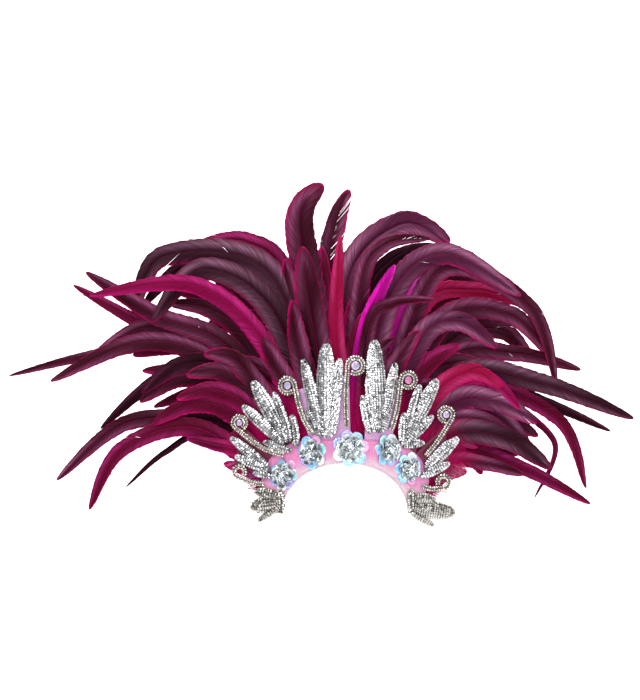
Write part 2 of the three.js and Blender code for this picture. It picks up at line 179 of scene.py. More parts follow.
# %% Colours
def linear(code):
    """A colour code such as #a3004f as linear red, green and blue."""
    value = np.array([int(code[i : i + 2], 16) for i in (1, 3, 5)]) / 255
    return np.where(value <= 0.04045, value / 12.92, ((value + 0.055) / 1.055) ** 2.4)


print("mid grey in linear light:", linear("#808080").round(3))

# %% Noise of a finish
NOISE_DETAIL = 4.0
NOISE_LOW, NOISE_HIGH = 0.34, 0.66  # most of the noise lies between these


def noise_of(tree, grain, barbs):
    """A noise with its grain in features per metre, or stretched along the barb lines of a vane."""
    noise = tree.nodes.new("ShaderNodeTexNoise")
    noise.inputs["Scale"].default_value = grain
    noise.inputs["Detail"].default_value = NOISE_DETAIL
    if barbs:
        place = tree.nodes.new("ShaderNodeAttribute")
        place.attribute_name = "barb"
        stretch = tree.nodes.new("ShaderNodeMapping")
        stretch.inputs["Scale"].default_value = barbs
        tree.links.new(place.outputs["Vector"], stretch.inputs["Vector"])
        tree.links.new(stretch.outputs["Vector"], noise.inputs["Vector"])
    else:
        place = tree.nodes.new("ShaderNodeTexCoord")
        tree.links.new(place.outputs["Object"], noise.inputs["Vector"])
    return noise.outputs["Fac"]


def ramp(tree, noise, low, high):
    """The middle of a noise spread evenly from low to high."""
    spread = tree.nodes.new("ShaderNodeMapRange")
    ends = {"From Min": NOISE_LOW, "From Max": NOISE_HIGH, "To Min": low, "To Max": high}
    for socket, value in ends.items():
        spread.inputs[socket].default_value = value
    tree.links.new(noise, spread.inputs["Value"])
    return spread.outputs["Result"]


print("noise used from", NOISE_LOW, "to", NOISE_HIGH)

# %% A finish
BUMP_DEPTH = 0.0003  # m


def finish(name, settings, grain, dark, spread, bump, barbs=None):
    """A Principled material: its tint times a noise from dark to 1.

    The same noise moves the roughness by spread to either side, and raises bumps of a strength.
    """
    made = bpy.data.materials.new(name)
    made.use_nodes = True
    tree = made.node_tree
    shader = tree.nodes["Principled BSDF"]
    for socket, value in settings.items():
        shader.inputs[socket].default_value = value
    noise = noise_of(tree, grain, barbs)
    tint = tree.nodes.new("ShaderNodeVertexColor")
    tint.layer_name = "tint"
    shaded = tree.nodes.new("ShaderNodeMix")
    shaded.data_type, shaded.blend_type = "RGBA", "MULTIPLY"
    shaded.inputs["Factor"].default_value = 1.0
    raised = tree.nodes.new("ShaderNodeBump")
    raised.inputs["Strength"].default_value = bump
    raised.inputs["Distance"].default_value = BUMP_DEPTH
    rough = settings["Roughness"]
    for output, socket in (
        (tint.outputs["Color"], shaded.inputs["A"]),
        (ramp(tree, noise, dark, 1.0), shaded.inputs["B"]),
        (shaded.outputs["Result"], shader.inputs["Base Color"]),
        (ramp(tree, noise, rough + spread, rough - spread), shader.inputs["Roughness"]),
        (noise, raised.inputs["Height"]),
        (raised.outputs["Normal"], shader.inputs["Normal"]),
    ):
        tree.links.new(output, socket)
    print("finish:", name)
    return made


print("bumps of a finish, mm:", BUMP_DEPTH * 1000)

# %% [markdown]
# ## Dressing a node
# All parts of a piece become one mesh, which takes the place of the solid of the same name.
# Separate objects would be easier to name, but thousands of sequins and barbs would make Blender
# slow. A part that was wound the wrong way round has a negative volume, so its faces are turned
# over.

# %% Parts
Part = namedtuple("Part", "points faces tint finish lines", defaults=[None])


def facing_out(part):
    """The faces of a part, turned over if the volume they enclose is negative."""
    volume = 0.0
    for f in part.faces:
        for k in range(1, f.shape[1] - 1):
            a, b, c = (part.points[f[:, i]] for i in (0, k, k + 1))
            volume += np.einsum("ij,ij->", a, np.cross(b, c))
    return part.faces if volume > 0 else [f[:, ::-1] for f in part.faces]


print("a part has its", ", ".join(Part._fields))

# %% One mesh of many parts
MM = 0.001  # metres


def joined(name, parts):
    """One mesh of all parts: their points end to end, and faces that count on from part to part."""
    finishes = list(dict.fromkeys(part.finish for part in parts))
    loops, sizes, slots, start = [], [], [], 0
    for part in parts:
        for f in facing_out(part):
            loops.append((f + start).ravel())
            sizes.append(np.full(len(f), f.shape[1]))
            slots.append(np.full(len(f), finishes.index(part.finish)))
        start += len(part.points)
    points = np.concatenate([part.points for part in parts]) * MM
    loops, sizes, slots = (np.concatenate(a).astype(np.int32) for a in (loops, sizes, slots))
    mesh = bpy.data.meshes.new(name)
    mesh.vertices.add(len(points))
    mesh.vertices.foreach_set("co", points.astype(np.float32).ravel())
    mesh.loops.add(len(loops))
    mesh.loops.foreach_set("vertex_index", loops)
    mesh.polygons.add(len(sizes))
    mesh.polygons.foreach_set("loop_start", (np.cumsum(sizes) - sizes).astype(np.int32))
    for made in finishes:
        mesh.materials.append(made)
    mesh.polygons.foreach_set("material_index", slots)
    mesh.update(calc_edges=True)
    return mesh


print("one millimetre in the mesh:", MM)


# %% Tints of a mesh
def painted(mesh, parts):
    """Stores each point's tint, and in a mesh with vanes its barb line, or else its own place."""
    colours = np.ones((len(mesh.vertices), 4), np.float32)
    colours[:, :3] = np.concatenate([np.broadcast_to(p.tint, p.points.shape) for p in parts])
    layer = mesh.color_attributes.new("tint", "FLOAT_COLOR", "POINT")
    layer.data.foreach_set("color", colours.ravel())
    if any(part.lines is not None for part in parts):
        lines = np.concatenate([p.points if p.lines is None else p.lines for p in parts])
        layer = mesh.attributes.new("barb", "FLOAT_VECTOR", "POINT")
        layer.data.foreach_set("vector", lines.astype(np.float32).ravel())
    return mesh


print("attributes of a mesh: tint, and barb where it has vanes")


# %% A piece in place of its node
def dress(node, parts, rounded=True):
    """One piece of all parts in place of a node, shaded smooth if it is rounded."""
    mesh = painted(joined(node, parts), parts)
    mesh.polygons.foreach_set("use_smooth", np.full(len(mesh.polygons), rounded))
    piece = bpy.data.objects.new(node + "_dressed", mesh)
    bpy.context.collection.objects.link(piece)
    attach(piece, "root")
    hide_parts(node)
    print(node, "triangles:", len(mesh.loops) - 2 * len(mesh.polygons))
    return piece


print("nodes still to dress:", len(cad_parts))

# %% [markdown]
# ## The band
# The band is a satin-covered arch over the forehead, higher at its haunches and narrow at its ends.
# A curve with a flat bevel could make it, but its height changes along the way. So it is a grid of
# angle and height on an ellipse, with a wall behind it. Its pink fades towards the lower edge.

# %% Arch and walls
BAND_HALF, BAND_RISE = 68, 54  # mm, the ellipse of the lower edge


def smooth(x, low, high):
    """A soft step from 0 at low to 1 at high."""
    t = np.clip((x - low) / (high - low), 0, 1)
    return t * t * (3 - 2 * t)


def arch(half, rise, degrees):
    """A point of the arch over the head: an ellipse whose middle lies below the origin."""
    angle = np.radians(degrees)
    return np.stack([half * np.sin(angle), rise * np.cos(angle) - BAND_RISE], -1)


def walled(x, z, thick, back=0.0):
    """A wall over a grid (station, across) of front-view points, bent round the head."""
    front, rear = (on_front(x, wrap(x) + back + y, z) for y in (0, thick))
    return sweep(round_wall(front, rear)[None])


print("top of the arch, mm:", arch(BAND_HALF, BAND_RISE, 0))

# %% Band
BAND_HEIGHT, BAND_HAUNCH, BAND_THICK = 26, 13, 2.5  # mm; the haunches are that much higher
BAND_END, TAPER_FROM = 91, 64  # degrees from the middle
TAPER = 0.66  # share of its height that the band loses at its ends
FADE_UP, FADE_ALONG = (0.05, 0.5), (60, 82)  # share of the height, degrees
PINK, PALE_PINK = linear("#dc84b6"), linear("#d6bcc8")
SATIN_LOOK = {"Roughness": 0.42, "Sheen Weight": 0.1}
SATIN = finish("pink satin", SATIN_LOOK, grain=700, dark=0.72, spread=0.12, bump=0.3)

angles, up = np.linspace(-BAND_END, BAND_END, 121)[:, None], np.linspace(0, 1, 7)
taper = 1 - TAPER * smooth(np.abs(angles), TAPER_FROM, BAND_END)
grow = (BAND_HEIGHT + BAND_HAUNCH * np.sin(2 * np.radians(angles)) ** 2) * taper * up
spot = arch(BAND_HALF + grow, BAND_RISE + grow, np.broadcast_to(angles, grow.shape))
fade = (smooth(up, *FADE_UP) * (1 - smooth(np.abs(angles), *FADE_ALONG)))[..., None]
dye = PALE_PINK * (1 - fade) + PINK * fade
band_wall = walled(spot[..., 0], spot[..., 1], BAND_THICK)
band = Part(*band_wall, round_wall(dye, dye).reshape(-1, 3), SATIN)
print("height of the band, mm:", round(float(grow.max()), 1))

# %% [markdown]
# ## Webs and piping
# The webs are stiff net that rises behind the sprays, lilac in the middle and wine red like the
# feathers at the sides. Each is four corners in the pattern, and a straight blend between its low
# and its high edge fills it. A padded piping closes the band's lower edge: a small oval carried
# along the ellipse, because a bare wall would look like card.

# %% Webs
WEBS = table(
    "low_x1 low_z1 low_x2 low_z2 high_x2 high_z2 high_x1 high_z1",
    """
    -37 16 6 18 4 98 -53 80
    20 16 50 16 61 91 25 86
    56 8 76 8 98 71 72 69
    -70 4 -50 8 -71 64 -102 71
    74 8 81 -18 114 4 110 40
    -80 -20 -74 6 -112 40 -122 -2
    """,
)
WEB_THICK, WEB_BACK = 1.4, 0.4  # mm
LILAC_HALF = 37.5  # mm: webs whose foot lies nearer to the middle than this are lilac
LILAC_NET, WINE_NET = linear("#c898c6"), linear("#6a0a36")


def web_part(web):
    """A sheet between four corners: a straight blend along and then between its two edges."""
    u, v = np.linspace(0, 1, 13)[None], np.linspace(0, 1, 13)[:, None]
    edge = {}
    for name in ("low_x", "low_z", "high_x", "high_z"):
        edge[name] = web[name + "1"] * (1 - u) + web[name + "2"] * u
    x, z = (edge["low_" + k] * (1 - v) + edge["high_" + k] * v for k in "xz")
    lilac = abs(web["low_x1"] + web["low_x2"]) / 2 < LILAC_HALF
    return Part(*walled(x, z, WEB_THICK, WEB_BACK), LILAC_NET if lilac else WINE_NET, SATIN)


webs = [web_part(web) for web in WEBS]
print("webs:", len(webs))

# %% Piping
PIPING, PIPING_BULGE = 1.2, 1.6  # mm, half its height and half its depth
PIPING_BACK = 1.0  # mm, its middle behind the band's front

line = arch(BAND_HALF + PIPING, BAND_RISE + PIPING, np.linspace(-BAND_END, BAND_END, 161))
line, turn = line[:, None], turns(8)
piping = on_front(
    line[..., 0] + PIPING * np.cos(turn) * line[..., 0] / BAND_HALF,
    wrap(line[..., 0]) + PIPING_BACK - PIPING_BULGE * np.sin(turn),
    line[..., 1] + PIPING * np.cos(turn) * (line[..., 1] + BAND_RISE) / BAND_RISE,
)
piping = Part(*sweep(piping[None]), PALE_PINK, SATIN)
dress("crown_base", [band, *webs, piping])

# %% [markdown]
# ## Sequin leaves
# Each leaf is a padded oval covered in cup sequins, sewn in ranks that run along it and close up at
# its ends, like tiles on a roof. A bumpy silver surface would be lighter, but the sparkle comes
# from discs that each catch another light. So every sequin is a small cup, tilted a little at
# random.

# %% Leaves of the pattern
LEAVES = table(
    "spray base_x base_z tip_x tip_z width",
    """
    spray_centre_left -22 30 -21 130 20
    spray_centre_left -27 33 -46 113 13
    spray_centre_left -18 31 -6 114 12
    spray_centre_left -27 30 -42 59 9
    spray_centre_left -15 31 -9 73 9
    spray_centre_right 36 35 32 134 20
    spray_centre_right 31 36 25 96 9
    spray_centre_right 41 36 55 109 12
    spray_centre_right 27 34 19 73 9
    spray_centre_right 38 35 48 62 8
    spray_left -64 24 -101 89 16
    spray_left -68 22 -112 62 12
    spray_left -60 25 -78 77 10
    spray_left -54 19 -58 52 10
    spray_left -59 14 -89 23 8
    spray_right 68 29 101 91 15
    spray_right 67 29 82 85 11
    spray_right 63 22 65 54 10
    spray_right 70 25 96 51 9
    spray_right 62 20 86 22 8
    spray_low_left -84 -5 -125 27 10
    spray_low_left -83 -9 -120 7 9
    spray_low_left -80 -14 -100 -11 7
    spray_low_right 89 -8 124 27 11
    spray_low_right 88 -4 115 24 7
    spray_low_right 84 -15 114 -1 9
    spray_end_left -71 -44 -103 -48 17
    spray_end_left -72 -48 -95 -63 7
    spray_end_left -71 -38 -98 -31 12
    spray_end_left -70 -55 -72 -30 9
    spray_end_right 74 -49 120 -55 19
    spray_end_right 73 -55 97 -68 7
    spray_end_right 74 -38 98 -41 12
    spray_end_right 74 -55 74 -30 10
    """,
)
print("leaves:", len(LEAVES))

# %% Pad of a leaf
GAP = 0.4  # mm between the crown and what is sewn on it
LEAF_THICK = 3.2  # mm
LEAF_LIFT = GAP + LEAF_THICK / 2
BLUNT, BASE_LEAST, TIP_LEAST = 0.38, 0.5, 0.2  # the oval's power, and least shares of its width
GREY = linear("#7d797c")
SEQUIN_LOOK = {"Metallic": 1.0, "Roughness": 0.22}
SEQUIN = finish("silver sequin", SEQUIN_LOOK, grain=900, dark=0.75, spread=0.06, bump=0.1)


def vein_of(leaf):
    """A leaf's base and length, and unit directions along its vein and across it."""
    base = np.array([leaf["base_x"], leaf["base_z"]])
    way = np.array([leaf["tip_x"], leaf["tip_z"]]) - base
    length = np.hypot(*way)
    return base, length, way / length, np.array([way[1], -way[0]]) / length


def leaf_spot(leaf, s, across):
    """Front-view x and z at share s of the vein and a distance across it."""
    base, length, along, side = vein_of(leaf)
    return [base[k] + along[k] * length * s + side[k] * across for k in (0, 1)]


def leaf_half(leaf, s):
    """Half width of a leaf at share s of its length: a blunt oval, widest at its middle."""
    oval = np.clip(4 * s * (1 - s), 0, 1) ** BLUNT
    return leaf["width"] / 2 * np.maximum(oval, np.where(s < 0.5, BASE_LEAST, TIP_LEAST))


def pad_part(leaf):
    """The pad: a flat oval ring of the leaf's width, carried along the vein."""
    s, turn = np.linspace(0, 1, 15)[:, None], turns(10)
    x, z = leaf_spot(leaf, s, leaf_half(leaf, s) * np.cos(turn))
    pad = on_front(x, wrap(x) - LEAF_LIFT + LEAF_THICK / 2 * np.sin(turn), z)
    return Part(*sweep(pad[None]), GREY, SEQUIN)


print("longest leaf, mm:", round(max(vein_of(leaf)[1] for leaf in LEAVES)))

# %% A cup sequin
SILVER, DULL_SILVER = linear("#f4f4f8"), linear("#d4cfc8")


def ring_shades(rings, ends, sides):
    """Painted light and shade on a turned shape: one value for each ring, then its two ends."""
    return np.concatenate([np.repeat(rings, sides), ends])[:, None]


CUP = turned([(0, -0.1), (0.55, -0.05), (1, 0.04), (0.5, -0.2), (0, -0.24)], 8)
# painted light on a cup sequin: its middle painted bright, its rim and back painted dark
CUP_PAINTED_LIGHT = ring_shades([1.0, 0.42, 0.3], [0.9, 0.3], 8)
print("points of a cup sequin:", len(CUP[0]))

# %% Sequins of a leaf
SEED = 11  # one seed for the whole lesson, so that every run makes the same headdress
rng = np.random.default_rng(SEED)
ROW_STEP, RANK_STEP = 2.6, 3.2  # mm between sequins along and across a leaf
FIRST_ROW, CLOSE_UP, LAST = 0.2, 0.2, 0.99  # steps, leaf widths that outer ranks are set on, share
EDGE_ROOM, STANDS_OFF = 0.9, 0.3  # mm that sequins keep from the leaf's edge, and off its pad
SIDE_LEAN, TIP_LEAN, SHAKE = 0.5, 0.2, 0.14  # slopes of a sequin, and their spread by chance
SEQUIN_SIZE, SEQUIN_SHADE = (1.9, 2.15), (0.85, 1.05)  # mm, and shares of the silver


def sequin_part(leaf):
    """Sequins in ranks beside the vein: odd ranks are half a step on, and outer ones lean out."""
    _, length, along, side = vein_of(leaf)
    rows = np.arange(int(length / ROW_STEP))[:, None]
    ranks = max(1, round((leaf["width"] / 2 - 1) / RANK_STEP))
    rank = np.arange(-ranks, ranks + 1)[None]
    s = (rows + FIRST_ROW + 0.5 * (rank % 2)) / len(rows)
    s = s + CLOSE_UP * np.abs(rank) / ranks * leaf["width"] / length
    s = np.clip(s, 0, LAST).ravel()
    half = leaf_half(leaf, s)
    across = (rank / ranks + 0 * rows).ravel() * (half - EDGE_ROOM)
    x, z = leaf_spot(leaf, s, across)
    dome = np.sqrt(np.clip(1 - (across / half) ** 2, 0, 1))
    y = wrap(x) - LEAF_LIFT - LEAF_THICK / 2 * dome - STANDS_OFF
    lean = SIDE_LEAN * across / half
    shake = rng.normal(0, SHAKE, (2, len(x)))
    to_x, to_z = (lean * side[k] + TIP_LEAN * along[k] + shake[k] for k in (0, 1))
    axes = facing(on_front(np.tan(wrap_angle(x)) + to_x, -1.0, to_z))
    silver = DULL_SILVER if "end" in leaf["spray"] else SILVER
    tint = silver * rng.uniform(*SEQUIN_SHADE, (len(x), 1))
    cups = copies(CUP, on_front(x, y, z), axes, rng.uniform(*SEQUIN_SIZE, len(x)))
    return Part(*cups, (tint[:, None] * CUP_PAINTED_LIGHT).reshape(-1, 3), SEQUIN)


print("step of the sequins along and across a leaf, mm:", ROW_STEP, RANK_STEP)

# %% Sprays
for spray in dict.fromkeys(leaf["spray"] for leaf in LEAVES):
    leaves = [leaf for leaf in LEAVES if leaf["spray"] == spray]
    parts = [make(leaf) for leaf in leaves for make in (pad_part, sequin_part)]
    dress(spray, parts, rounded=False)

# %% [markdown]
# ## Beaded swirls
# A crozier is a stalk that runs into a curl along a tangent. Two strings of silver-lined beads
# follow it side by side over a padded cord. A beaded texture on a tube would be flat at the edges,
# so the beads are real and small, and each is turned and sized a little differently.

# %% Line of a swirl
SWIRLS = table(
    "name base_x base_z eye_x eye_z radius turn bow",
    """
    centre 2 40 11 107 8.5 1 -2
    centre_left -36 33 -63 85 8 -1 -5
    centre_right 50 36 69 91 8 1 3
    left -67 9 -116 44 7 1 -6
    right 88 8 111 53 7.5 -1 2
    low_left -89 -23 -116 -10 6 1 -2
    low_right 85 -25 108 -21 6.5 -1 3
    """,
)
CURL = 300  # degrees


def run_of(line):
    """Distance from the start of a line to each of its points."""
    return np.concatenate([[0], np.cumsum(np.hypot(*np.diff(line, axis=0).T))])


def beside(line, places):
    """Points at distances along a line, and unit directions to its right there."""
    points = np.stack([np.interp(places, run_of(line), line[:, k]) for k in (0, 1)], -1)
    ahead = np.gradient(points, axis=0)
    ahead /= np.hypot(*ahead.T)[:, None]
    return points, np.stack([ahead[:, 1], -ahead[:, 0]], -1)


def swirl_line(row):
    """A crozier in the front view: a bowed stalk, then an arc round the eye, tangent to it."""
    base, eye = (np.array([row[end + "_x"], row[end + "_z"]]) for end in ("base", "eye"))
    reach = eye - base
    tilt = np.arcsin(row["radius"] / np.hypot(*reach))
    heading = np.arctan2(reach[1], reach[0]) + row["turn"] * tilt
    start = heading + row["turn"] * np.pi / 2
    shoulder = eye + row["radius"] * np.array([np.cos(start), np.sin(start)])
    s = np.linspace(0, 1, 60, endpoint=False)[:, None]
    bow = row["bow"] * np.array([np.sin(heading), -np.cos(heading)])
    stalk = base + (shoulder - base) * s + bow * np.sin(np.pi * s) * (1 - s / 2)
    angle = start - row["turn"] * np.radians(CURL) * np.linspace(0, 1, 60)
    curl = eye + row["radius"] * np.stack([np.cos(angle), np.sin(angle)], -1)
    return np.concatenate([stalk, curl])


print("lengths of the swirls, mm:", [round(run_of(swirl_line(row))[-1]) for row in SWIRLS])

# %% Cord of a swirl
TUBE = 2.6  # mm, half the swirl's thickness
SWIRL_LIFT = GAP + TUBE
CORD_STEP, CORD_HALF, CORD_DEEP = 2.0, 1.7, 1.9  # mm
CORD_GREY = linear("#6c6664")
BEAD_LOOK = {"Metallic": 0.9, "Roughness": 0.2}
BEAD = finish("silver-lined bead", BEAD_LOOK, grain=1200, dark=0.8, spread=0.06, bump=0.1)


def off_crown(points, lift):
    """Front-view points lifted off the crown along its own normal."""
    x, z = points[..., 0], points[..., 1]
    return on_front(x, wrap(x) - lift / np.cos(wrap_angle(x)), z)


def swirl_at(row, step):
    """Points and sideways directions every step along a swirl."""
    line = swirl_line(row)
    return beside(line, np.arange(step / 2, run_of(line)[-1], step))


def cord_part(row):
    """The padded cord: an oval ring carried along the swirl."""
    line, side = swirl_at(row, CORD_STEP)
    turn = turns(8)
    cord = line[:, None] + CORD_HALF * np.cos(turn)[:, None] * side[:, None]
    cord = off_crown(cord, SWIRL_LIFT)
    cord[..., 1] += CORD_DEEP * np.sin(turn)
    return Part(*sweep(cord[None]), CORD_GREY, BEAD)


print("points along the first cord:", len(swirl_at(SWIRLS[0], CORD_STEP)[0]))

# %% Swirls
BEAD_STEP, BEAD_SIDE, BEAD_OUT = 2.5, 1.6, 0.9  # mm along, beside and in front of the cord
BEAD_SHIFT, BEAD_TURN = 0.08, 0.4  # spread by chance, mm and slope
BEAD_SHADE, BEAD_SIZE = (0.45, 1.0), (1.4, 1.55)  # shares of the silver, mm
BEAD_SILVER = linear("#e2dcd2")
ROUND_BEAD = turned([(0, -1), (0.62, -0.78), (1, 0), (0.62, 0.78), (0, 1)], 10)


def bead_part(row):
    """Two strings of beads side by side, a step apart."""
    line, side = swirl_at(row, BEAD_STEP)
    strings = np.concatenate([line + BEAD_SIDE * side, line - BEAD_SIDE * side])
    count = len(strings)
    centres = off_crown(strings, SWIRL_LIFT + BEAD_OUT)
    centres = centres + rng.normal(0, BEAD_SHIFT, (count, 3))
    axes = facing(rng.normal(0, BEAD_TURN, (count, 3)) + [0, -1, 0])
    tint = BEAD_SILVER * rng.uniform(*BEAD_SHADE, (count, 1))
    beads = copies(ROUND_BEAD, centres, axes, rng.uniform(*BEAD_SIZE, count))
    return Part(*beads, np.repeat(tint, len(ROUND_BEAD[0]), 0), BEAD)


for row in SWIRLS:
    dress("swirl_" + row["name"], [cord_part(row), bead_part(row)], rounded=False)

# %% [markdown]
# ## Stones in the eyes of the swirls
# A cut stone has a flat table and a ring of facets. Glass would show only white paper here, so the
# stones are a pale, glossy finish with painted light and shade for each ring of facets: the table
# and crown painted bright, the back painted dark. Flat shading keeps each facet a clean mirror.

# %% Eye stones
WITH_STONE = SWIRLS[:5]
STONE_OUT, STONE_ROOM = 1.2, 0.8  # mm in front of the cord's middle, and clear of it all round
LILAC, ROSE = linear("#cdc2e6"), linear("#e096c4")
CUT = turned([(0, -0.5), (0.7, -0.5), (1, 0), (0.86, 0.28), (0.55, 0.5), (0, 0.5)], 10)
# painted light on a stone: its table and crown painted bright, its back painted dark
CUT_PAINTED_LIGHT = ring_shades([0.3, 0.5, 0.95, 0.75], [0.3, 0.9], 10)
STONE_LOOK = {"Roughness": 0.09, "Metallic": 0.35, "IOR": 1.7}
STONE = finish("lilac stone", STONE_LOOK, grain=600, dark=0.8, spread=0.04, bump=0.05)


def outward(x):
    """The crown's front direction at x."""
    angle = wrap_angle(x)
    return np.array([np.sin(angle), -np.cos(angle), 0.0])


for row in WITH_STONE:
    centre = off_crown(np.array([[row["eye_x"], row["eye_z"]]]), SWIRL_LIFT + STONE_OUT)
    size = row["radius"] - TUBE - STONE_ROOM
    stone = copies(CUT, centre, facing(outward(row["eye_x"])[None]), size)
    tint = ROSE if row["name"] == "centre_right" else LILAC
    parts = [Part(*stone, tint * CUT_PAINTED_LIGHT, STONE)]
    dress("eye_stone_" + row["name"], parts, rounded=False)

# %% [markdown]
# ## Paillettes
# A rosette is built up from the band outwards, as a milliner would, and big pearly paillettes come
# first. Each is a thin ribbed disc with a raised middle: a turned profile whose radius ripples. A
# thin film on the shader gives the pearl its changing colours, which a painted disc would not have.

# %% Rosettes of the pattern
ROSETTES = table(
    "name x z radius paillettes",
    """
    centre 5.5 17.5 14.5 17
    left -36 12 13.5 16
    right 48 15 13 15.5
    far_left -67 -13 13 15.5
    far_right 70 -6 12.5 15
    """,
)
print("rosettes:", len(ROSETTES))

# %% A ring of paillettes
DISC = turned(
    [(0, 0.06), (0.2, 0.06), (0.25, 0.12), (0.95, 0.05), (1, 0.02), (0.95, -0.01), (0, -0.02)],
    28,
    lambda angle: 1 + 0.02 * np.cos(14 * angle),
)
DISCS, DISC_TILT, RING_SHAKE = 7, 0.1, 0.1  # how many, radians, slope by chance
DISC_SIZE, DISC_REACH = 0.42, (0.7, 0.88)  # shares of the ring's radius
DISC_LIFT, LAYER, LAYERS = 0.8, 0.5, 3  # mm, mm from layer to layer, how many
PEARL_CODES = ("#98cdf5", "#b3a6ee", "#ecacdd", "#ebeff7", "#9fb0f0", "#ade4ed")
PEARLS = np.array([linear(code) for code in PEARL_CODES])
PEARL_LOOK = {"Roughness": 0.16, "Metallic": 0.3, "Coat Weight": 1.0, "Thin Film Thickness": 420.0}
PEARL = finish("pearly paillette", PEARL_LOOK, grain=500, dark=0.8, spread=0.06, bump=0.12)


def heart(row):
    """The middle of a rosette on the crown's front."""
    return on_front(row["x"], wrap(row["x"]), row["z"])


def ring_axes(row, count, start, tilt):
    """Directions round a rosette and the axes of pieces there that are tilted outwards."""
    angle, front = wrap_angle(row["x"]), outward(row["x"])
    right, turn = np.array([np.cos(angle), np.sin(angle), 0.0]), start + turns(count)
    out = np.cos(turn)[:, None] * right + np.sin(turn)[:, None] * np.array([0, 0, 1.0])
    shake = rng.normal(0, RING_SHAKE, (count, 3))
    return out, facing(front + np.tan(tilt) * out + shake)


def paillette_part(row):
    """A ring of discs in three layers, each disc with a pearl colour of its own."""
    out, axes = ring_axes(row, DISCS, rng.uniform(0, 1), DISC_TILT)
    reach = row["paillettes"] * rng.uniform(*DISC_REACH, (DISCS, 1))
    lift = DISC_LIFT + LAYER * (np.arange(DISCS)[:, None] % LAYERS)
    centres = heart(row) + outward(row["x"]) * lift + out * reach
    tint = PEARLS[rng.permutation(DISCS) % len(PEARLS)]
    discs = copies(DISC, centres, axes, row["paillettes"] * DISC_SIZE)
    return Part(*discs, np.repeat(tint, len(DISC[0]), 0), PEARL)


print("points of a paillette:", len(DISC[0]))

# %% [markdown]
# ## Rosettes
# Over the paillettes come two rounds of cupped silver petals, and a knot of crystals in the middle.
# A petal could be drawn as a curve and thickened, but a turned cup with five soft lobes is enough
# at this size. Its rim is bright and its hollow dark, because petals shade each other.

# %% A round of petals
PETAL_SIDES = 16
PETAL = turned(
    [(0, 0.0), (0.5, 0.05), (1, 0.3), (1.02, 0.24), (0.5, -0.05), (0, -0.1)],
    PETAL_SIDES,
    lambda angle: 1 + 0.06 * np.cos(5 * angle),
)
# painted light on a petal: its rim painted bright, its hollow and back painted dark
PETAL_PAINTED_LIGHT = ring_shades([0.4, 1.0, 0.9, 0.5], [0.3, 0.4], PETAL_SIDES)
PETAL_SILVER = linear("#dde7ec")
PETAL_ROUNDS = table(
    "count reach size lift tilt",
    """
    7 0.64 0.44 3.0 0.3
    5 0.34 0.34 5.2 0.45
    """,
)


def petal_part(row, count, reach, size, lift, tilt):
    """A round of petals: reach and size are shares of the rosette's radius, lift is in mm."""
    radius, count = row["radius"], int(count)
    out, axes = ring_axes(row, count, rng.uniform(0, 1), tilt)
    centres = heart(row) + outward(row["x"]) * lift + out * radius * reach
    # a random tone for each petal, times its painted light and shade
    shade = (rng.uniform(0.75, 1.0, (count, 1, 1)) * PETAL_PAINTED_LIGHT).reshape(-1, 1)
    return Part(*copies(PETAL, centres, axes, radius * size), PETAL_SILVER * shade, SEQUIN)


print("petals of a rosette:", sum(int(each["count"]) for each in PETAL_ROUNDS))

# %% Rosettes
KNOT_RING, KNOT_TILT = 6, 0.5  # crystals, radians
KNOT_SIZE, KNOT_REACH, BACK_REACH = 0.12, 0.17, 0.7  # shares of the rosette's radius
BACK_LOW, BACK_HIGH, KNOT_LIFT, KNOT_TOP = 2.0, 3.0, 7.0, 8.0  # mm in front of the crown


def rosette_parts(row):
    """Two rounds of petals, a ring of crystals with one on top, and a disc that holds them."""
    middle, front, radius = heart(row), outward(row["x"]), row["radius"]
    petals = [petal_part(row, **each) for each in PETAL_ROUNDS]
    out, axes = ring_axes(row, KNOT_RING, 0.0, KNOT_TILT)
    ring, top = middle + front * KNOT_LIFT + out * radius * KNOT_REACH, middle + front * KNOT_TOP
    axes = np.concatenate([axes, facing(front[None])])
    knot = copies(CUT, np.concatenate([ring, top[None]]), axes, radius * KNOT_SIZE)
    wide = radius * BACK_REACH
    disc = turned([(0, BACK_LOW), (wide, BACK_LOW), (wide, BACK_HIGH), (0, BACK_HIGH)], 16)
    backing = copies(disc, middle[None], facing(front[None]), 1.0)
    return [*petals, Part(*knot, SILVER, SEQUIN), Part(*backing, GREY, SEQUIN)]


for row in ROSETTES:
    dress("paillettes_" + row["name"], [paillette_part(row)])
    dress("rosette_" + row["name"], rosette_parts(row), rounded=False)

# %% [markdown]
# ## The shafts of the feathers
# A feather has a shaft and two vanes, and its shaft decides how it sweeps. Bezier curves drawn by
# hand would do, but each shaft needs only four points: its root on the tape and three knots. A
# smooth line goes through them. The table also names each feather's width, the fullness of its tip
# and its dye.

